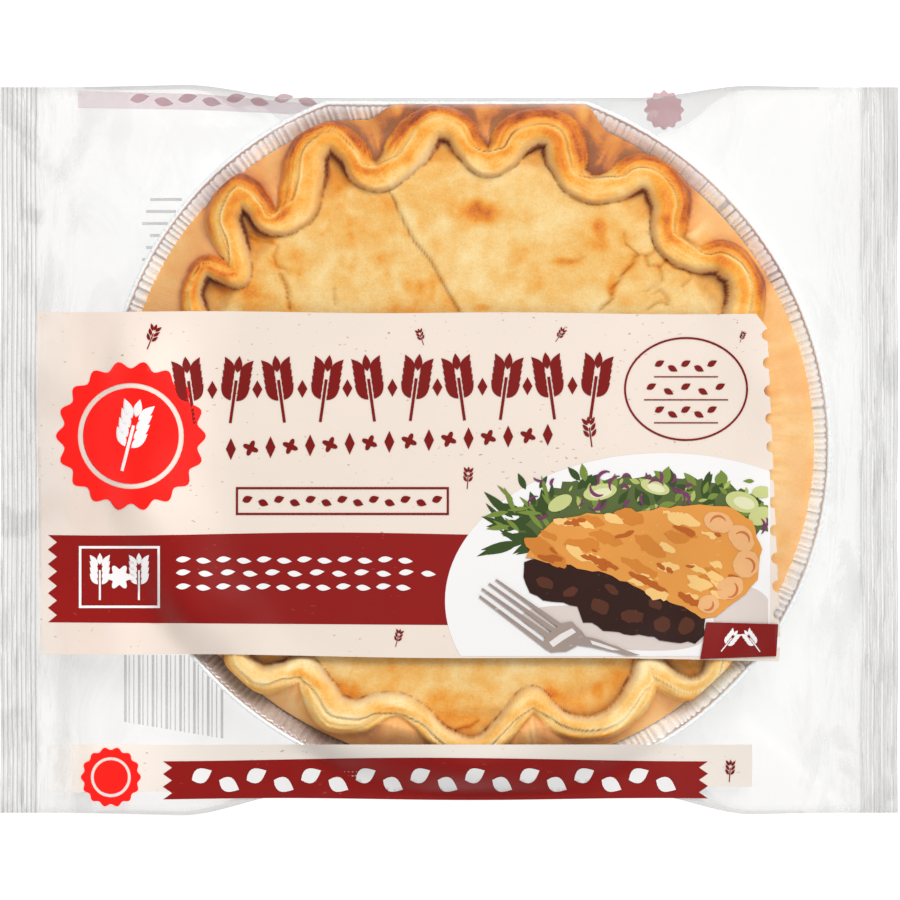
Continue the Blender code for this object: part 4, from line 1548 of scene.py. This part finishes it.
def roughened(loop, step, amount, seed):
    """A loop with its edges cut into short steps that wander a little."""
    draw = np.random.default_rng(seed)
    spots = []
    for (u0, v0), (u1, v1) in zip(loop, loop[1:] + loop[:1]):
        count = max(1, round(math.hypot(u1 - u0, v1 - v0) / step))
        for k in range(count):
            stray_u, stray_v = draw.uniform(-amount, amount, 2)
            spots.append((mix(u0, u1, k / count) + stray_u, mix(v0, v1, k / count) + stray_v))
    return spots


def curl(u, v, radius, width, start, end):
    """A thin bent strip: part of a ring, thickest in its middle."""
    outer, inner = [], []
    for share in np.linspace(0, 1, 11):
        angle = mix(start, end, share)
        half = width / 2 * (0.25 + 0.75 * math.sin(math.pi * share))
        for ring, reach in ((outer, radius + half), (inner, radius - half)):
            ring.append((u + reach * math.cos(angle), v + reach * math.sin(angle)))
    return outer + inner[::-1]


# The serving picture's own places and outlines. Ovals are given as place, half sizes and turn.
PLATE = (664, 601, 219, 148)
PLATE_BOX = (440, 440, 770, 656)
SERVING_BOX = (458, 456, 768, 655)
# Shaded ovals of the plate, with their number of points before their turn.
PLATE_SHADES = ((612, 628, 92, 20, 40, 0.12), (742, 612, 30, 26, 30, 0.0))
# Stretches that leaves are strewn over: left end, right end, middle row and how far up and down.
LONG_LEAVES_BELOW, SHORT_LEAVES_BELOW = (500, 540, 528, 20), (525, 764, 500, 20)
LONG_LEAVES_ABOVE, SHORT_LEAVES_ABOVE = (506, 560, 514, 18), (550, 764, 498, 20)
LIGHT_LEAVES = (530, 764, 498, 22)
# The curls lie between two columns, round a row that is lower from a third column on.
CURL_ENDS = (535, 764)
CURL_ROW, LOW_CURL_ROW, LOW_CURLS_FROM = 494, 532, 700
WEDGE_TOP_BOX = (532, 510, 740, 604)
SALAD_BED = [(522, 508), (545, 492), (575, 480), (610, 478), (650, 476), (690, 478), (730, 486), (762, 500),
             (766, 530), (740, 540), (560, 540), (520, 535)]
PALE_ROUNDS = ((742, 502, 17, 10, 0.3), (760, 516, 12, 9, -0.4), (600, 492, 17, 8, -0.2),
               (655, 487, 15, 7, 0.3), (560, 503, 13, 7, -0.5), (762, 492, 10, 6, 0.0))
PALE_SLICES = ((744, 503, 11, 6, 0.3), (601, 493, 11, 4.5, -0.2), (656, 488, 9, 4, 0.3))
FILLING = [(523, 561), (526, 585), (537, 597), (556, 602), (576, 608), (584, 621), (603, 631), (640, 635),
           (668, 640), (694, 643), (706, 634), (704, 612), (650, 584), (600, 566), (556, 556)]
CHUNKS = ((545, 583, 9, 6, 0.3), (570, 592, 8, 5, -0.3), (600, 606, 10, 7, 0.5), (632, 616, 12, 7, 0.1),
          (662, 624, 9, 8, -0.4), (686, 626, 8, 9, 0.3), (612, 590, 8, 4, 0.6), (655, 604, 8, 5, 0.5))
WEDGE = [(526, 556), (538, 536), (556, 520), (586, 514), (620, 516), (660, 508), (700, 505), (728, 506),
         (752, 522), (762, 550), (757, 580), (738, 600), (716, 616), (702, 618), (676, 604), (640, 588),
         (606, 574), (570, 566), (545, 563)]
TOASTED_STREAKS = ((600, 562, 20, 3.5, 0.35), (648, 582, 22, 3.5, 0.45), (690, 600, 14, 4, 0.5),
                   (550, 558, 13, 3, 0.1), (625, 535, 10, 2.5, -0.3), (684, 530, 12, 3, 0.4),
                   (574, 522, 12, 2.5, -0.2))
CRUST_LOBES = ((718, 522, 15, 10, 0.3), (741, 538, 15, 11, 0.9), (746, 564, 13, 14, 0.2),
               (730, 588, 14, 11, -0.5), (708, 604, 11, 9, -0.3))
# Each ridge's place, radius and the angle that it starts at.
RIDGES = ((718, 524, 8, 3.3), (741, 540, 8, 4.0), (746, 566, 8, 4.6), (729, 589, 8, 5.4), (707, 604, 6, 5.8))
TINES = [[(481, 589), (483, 588), (550, 634), (546, 638)], [(488, 584), (490, 583), (556, 629), (552, 632)],
         [(495, 580), (497, 579), (562, 624), (558, 627)], [(479, 597), (480, 595), (544, 642), (541, 645)]]
FORK_HEAD = [(541, 645), (546, 636), (562, 623), (572, 621), (586, 636), (600, 640), (640, 655), (628, 655),
             (592, 647), (578, 645), (566, 651), (551, 652)]
FORK_GLINTS = [[(549, 642), (560, 634), (572, 628), (576, 632), (563, 640), (553, 647)],
               [(590, 640), (600, 643), (620, 650), (612, 650), (592, 644)]]


def build_serving(ink_print, white):
    """The plate printed on the label, in plain fields of colour: salad, a wedge of pie and a fork."""
    print_sheet("plate", [keep_within(oval(*PLATE, 120), *PLATE_BOX)], PLATE_LEVEL, white)
    draw = np.random.default_rng(41)
    level = PLATE_LEVEL + 0.03

    def field(name, colour, shapes, fleck=(255, 255, 255), amount=0.0, cloud=0.3):
        """The next field of colour, printed over those before it."""
        nonlocal level
        shapes = [keep_within(loop, *SERVING_BOX) for loop in shapes]
        ink = ink_material(name + "_ink", ink_print, tone(*colour), tone(*fleck), amount, cloud)
        print_sheet(name, [loop for loop in shapes if len(loop) > 2], level, ink)
        level += 0.05

    def ovals(shapes, count):
        return [oval(u, v, half_u, half_v, count, turn) for u, v, half_u, half_v, turn in shapes]

    def strewn(count, low_u, high_u, middle_v, spread_v, sizes, slim, turns):
        """Leaves strewn over a stretch of the plate."""
        leaves = []
        for _ in range(count):
            u, v = draw.uniform(low_u, high_u), middle_v + draw.uniform(-spread_v, spread_v)
            size = draw.uniform(*sizes)
            leaves.append(leaf(u, v, size, size * draw.uniform(*slim), draw.uniform(*turns)))
        return leaves

    def flakes(count, sizes, amount, seed):
        """Small ragged ovals strewn over the wedge's top."""
        found = []
        low_u, low_v, high_u, high_v = WEDGE_TOP_BOX
        while len(found) < count:
            u, v = draw.uniform(low_u, high_u), draw.uniform(low_v, high_v)
            if is_within(WEDGE, np.array([u]), np.array([v]))[0]:
                w = draw.uniform(*sizes)
                shape = oval(u, v, w, w * draw.uniform(0.3, 0.5), 12, draw.uniform(0.0, 0.7))
                found.append(roughened(shape, 4, amount, seed + len(found)))
        return found

    field("plate_shade", (226, 213, 206), [oval(*shade) for shade in PLATE_SHADES])
    field("salad_bed", (88, 104, 56), [roughened(SALAD_BED, 5, 3.0, 19)], (170, 180, 110), 0.6, 0.9)
    leaves = strewn(18, *LONG_LEAVES_BELOW, (24, 42), (0.16, 0.24), (2.5, 4.1))
    leaves += strewn(30, *SHORT_LEAVES_BELOW, (12, 24), (0.3, 0.5), (3.2, 6.0))
    field("deep_green", (58, 80, 36), leaves, (150, 170, 96), 0.4)
    leaves = strewn(14, *LONG_LEAVES_ABOVE, (16, 30), (0.16, 0.26), (2.6, 4.6))
    leaves += strewn(34, *SHORT_LEAVES_ABOVE, (10, 20), (0.35, 0.6), (3.0, 6.2))
    field("leaf_green", (122, 144, 62), leaves, (214, 220, 150), 0.4)
    field("light_green", (176, 190, 104), strewn(26, *LIGHT_LEAVES, (7, 15), (0.3, 0.5), (0.0, 6.2)))
    field("pale_green", (206, 212, 140), ovals(PALE_ROUNDS, 24), (240, 240, 190), 0.5)
    field("pale_slices", (233, 232, 190), ovals(PALE_SLICES, 20))
    curls = []
    for _ in range(34):
        u = mix(*CURL_ENDS, draw.uniform(0, 1))
        v = (CURL_ROW if u < LOW_CURLS_FROM else LOW_CURL_ROW) + draw.uniform(-22, 22)
        bend = draw.uniform(0, 6.28)
        radius, width = draw.uniform(5, 12), draw.uniform(2.0, 3.6)
        curls.append(curl(u, v, radius, width, bend, bend + draw.uniform(1.2, 2.4)))
    field("purple_curls", (124, 58, 104), curls, (206, 160, 190), 0.4)
    field("filling", (52, 26, 20), [roughened(FILLING, 7, 1.8, 5)], (120, 66, 44), 0.9, 0.8)
    chunks = [roughened(loop, 4, 1.0, spot[0]) for loop, spot in zip(ovals(CHUNKS, 12), CHUNKS)]
    field("filling_chunks", (92, 50, 34), chunks, (170, 96, 50), 0.9, 0.8)
    field("wedge", (232, 156, 72), [roughened(WEDGE, 8, 1.5, 8)], (250, 206, 130), 0.8, 0.5)
    field("wedge_gold", (216, 134, 52), flakes(16, (8, 20), 1.6, 200), (250, 206, 130), 0.8, 0.5)
    field("wedge_flakes", (250, 204, 128), flakes(22, (5, 16), 1.4, 300), (255, 232, 180), 0.9, 0.5)
    toasted = []
    for loop, (u, v, *_) in zip(ovals(TOASTED_STREAKS, 12), TOASTED_STREAKS):
        toasted.append(roughened(loop, 4, 1.2, 2 * u + v))
    field("wedge_toasted", (190, 98, 34), toasted + flakes(12, (2, 6), 0.8, 400), (150, 70, 24), 0.7, 0.5)
    lobes = [roughened(loop, 5, 0.8, 3 * spot[0]) for loop, spot in zip(ovals(CRUST_LOBES, 18), CRUST_LOBES)]
    field("wedge_crust", (240, 182, 124), lobes, (214, 128, 70), 0.7, 0.5)
    ridges = [curl(u, v, radius, 2.6, start, start + 2.6) for u, v, radius, start in RIDGES]
    field("wedge_ridges", (206, 118, 60), ridges)
    field("fork", (170, 152, 142), [roughened(FORK_HEAD, 6, 0.5, 3), *TINES], (236, 228, 222), 0.6, 0.8)
    field("fork_shine", (240, 234, 230), FORK_GLINTS)


# The back's print, seen faintly through the bag.
BACK_STRIP = [(78, 91), (200, 94), (325, 105), (330, 116), (200, 110), (78, 108)]
BACK_ROSETTE = (664, 110)
BACK_FLECK = tone(220, 180, 180)
BACK_LEAVES = (8, 130, 24, 100, 20, 9, 0.2)
# Short bars: their two ends and the first one's row. Tall bars: the first one's column, top and foot.
SHORT_BARS = (150, 182, 198)
TALL_BARS = (124, 655, 722)


def build_back_print(ink_print):
    def back_sheet(name, shapes, level, colour, fleck, cloud, cover):
        ink = ink_material(name + "_ink", ink_print, tone(*colour), fleck, cloud=cloud, cover=cover)
        print_sheet(name, shapes, level, ink, under=True)

    back_sheet("back_blush", [BACK_STRIP], 0.03, (214, 170, 184), BACK_FLECK, 0.3, 0.22)
    rosettes = [petalled(*BACK_ROSETTE, 20, 12, 0.14), *leaf_row(*BACK_LEAVES)]
    back_sheet("back_rose", rosettes, 0.06, (206, 130, 140), BACK_FLECK, 0.1, 0.45)
    bars = []
    left, right, first = SHORT_BARS
    for k in range(8):
        v = first + 12 * k
        bars.append(box(left - 4 * (k % 3), v, right - 6 * (k % 2), v + 3))
    first, top, foot = TALL_BARS
    for k in range(22):
        u = first + 4.6 * k
        bars.append(box(u, top, u + 1.2 + 1.5 * (k % 3 == 0), foot + 0.78 * k))
    back_sheet("back_grey", bars, 0.06, (150, 146, 150), tone(200, 200, 200), 0.1, 0.30)


# The stage.

FLOOR_REACH = 2.0
FLOOR_LEVEL = -0.0004
FLOOR_GLOW = 0.80
SKY_STRENGTH = 0.52
# Each lamp's place and size, in metres, and its power.
LAMPS = (
    ("key", (0.28, 0.55, 1.20), (0.6, 0.5), 11.8),
    ("fill", (0.45, -0.6, 1.2), (0.8, 0.8), 3.0),
)
LAMPS_AIM = (0, 0, 0.03)
SENSOR_WIDTH = 36.0


def place_in_scene(name, data, spot=(0, 0, 0)):
    holder = bpy.data.objects.new(name, data)
    holder.location = spot
    bpy.context.scene.collection.objects.link(holder)
    return holder


def build_floor():
    mesh = bpy.data.meshes.new("floor")
    corners = [(x, y, FLOOR_LEVEL) for x, y in box(-FLOOR_REACH, -FLOOR_REACH, FLOOR_REACH, FLOOR_REACH)]
    mesh.from_pydata(corners, [], [(0, 1, 2, 3)])
    settings = {
        "Base Color": (0.30, 0.30, 0.30, 1),
        "Roughness": 0.8,
        "Emission Color": (1, 1, 1, 1),
        "Emission Strength": FLOOR_GLOW,
    }
    mesh.materials.append(start_material("pale_floor", settings)[0])
    place_in_scene("floor", mesh)


def build_lights():
    world = bpy.data.worlds.new("studio")
    bpy.context.scene.world = world
    world.use_nodes = True
    sky = world.node_tree.nodes["Background"]
    sky.inputs["Color"].default_value = (1, 1, 1, 1)
    sky.inputs["Strength"].default_value = SKY_STRENGTH
    for name, spot, size, power in LAMPS:
        lamp = bpy.data.lights.new(name, "AREA")
        lamp.shape = "RECTANGLE"
        lamp.size, lamp.size_y = size
        lamp.energy = power
        holder = place_in_scene(name, lamp, spot)
        holder.rotation_euler = (Vector(LAMPS_AIM) - Vector(spot)).to_track_quat("-Z", "Y").to_euler()


def set_camera():
    camera = bpy.data.cameras.new("camera")
    camera.sensor_width = SENSOR_WIDTH
    camera.lens = SENSOR_WIDTH * RIM_DISTANCE / (FRAME_PIXELS * PIXEL_AT_RIM)
    spot = (CAMERA_X * MM, 0, CAMERA_HEIGHT * MM)
    bpy.context.scene.camera = place_in_scene("camera", camera, spot)
    bpy.context.scene.view_settings.view_transform = "Standard"


def main():
    baking = baking_group()
    ink_print = ink_group()
    build_film(film_material(crease_group()))
    build_tin(foil_material())
    build_crust(pastry_material("crust_pastry", baking))
    build_lid(pastry_material("lid_pastry", baking))
    build_print(ink_print)
    build_back_print(ink_print)
    build_floor()
    build_lights()
    set_camera()


main()
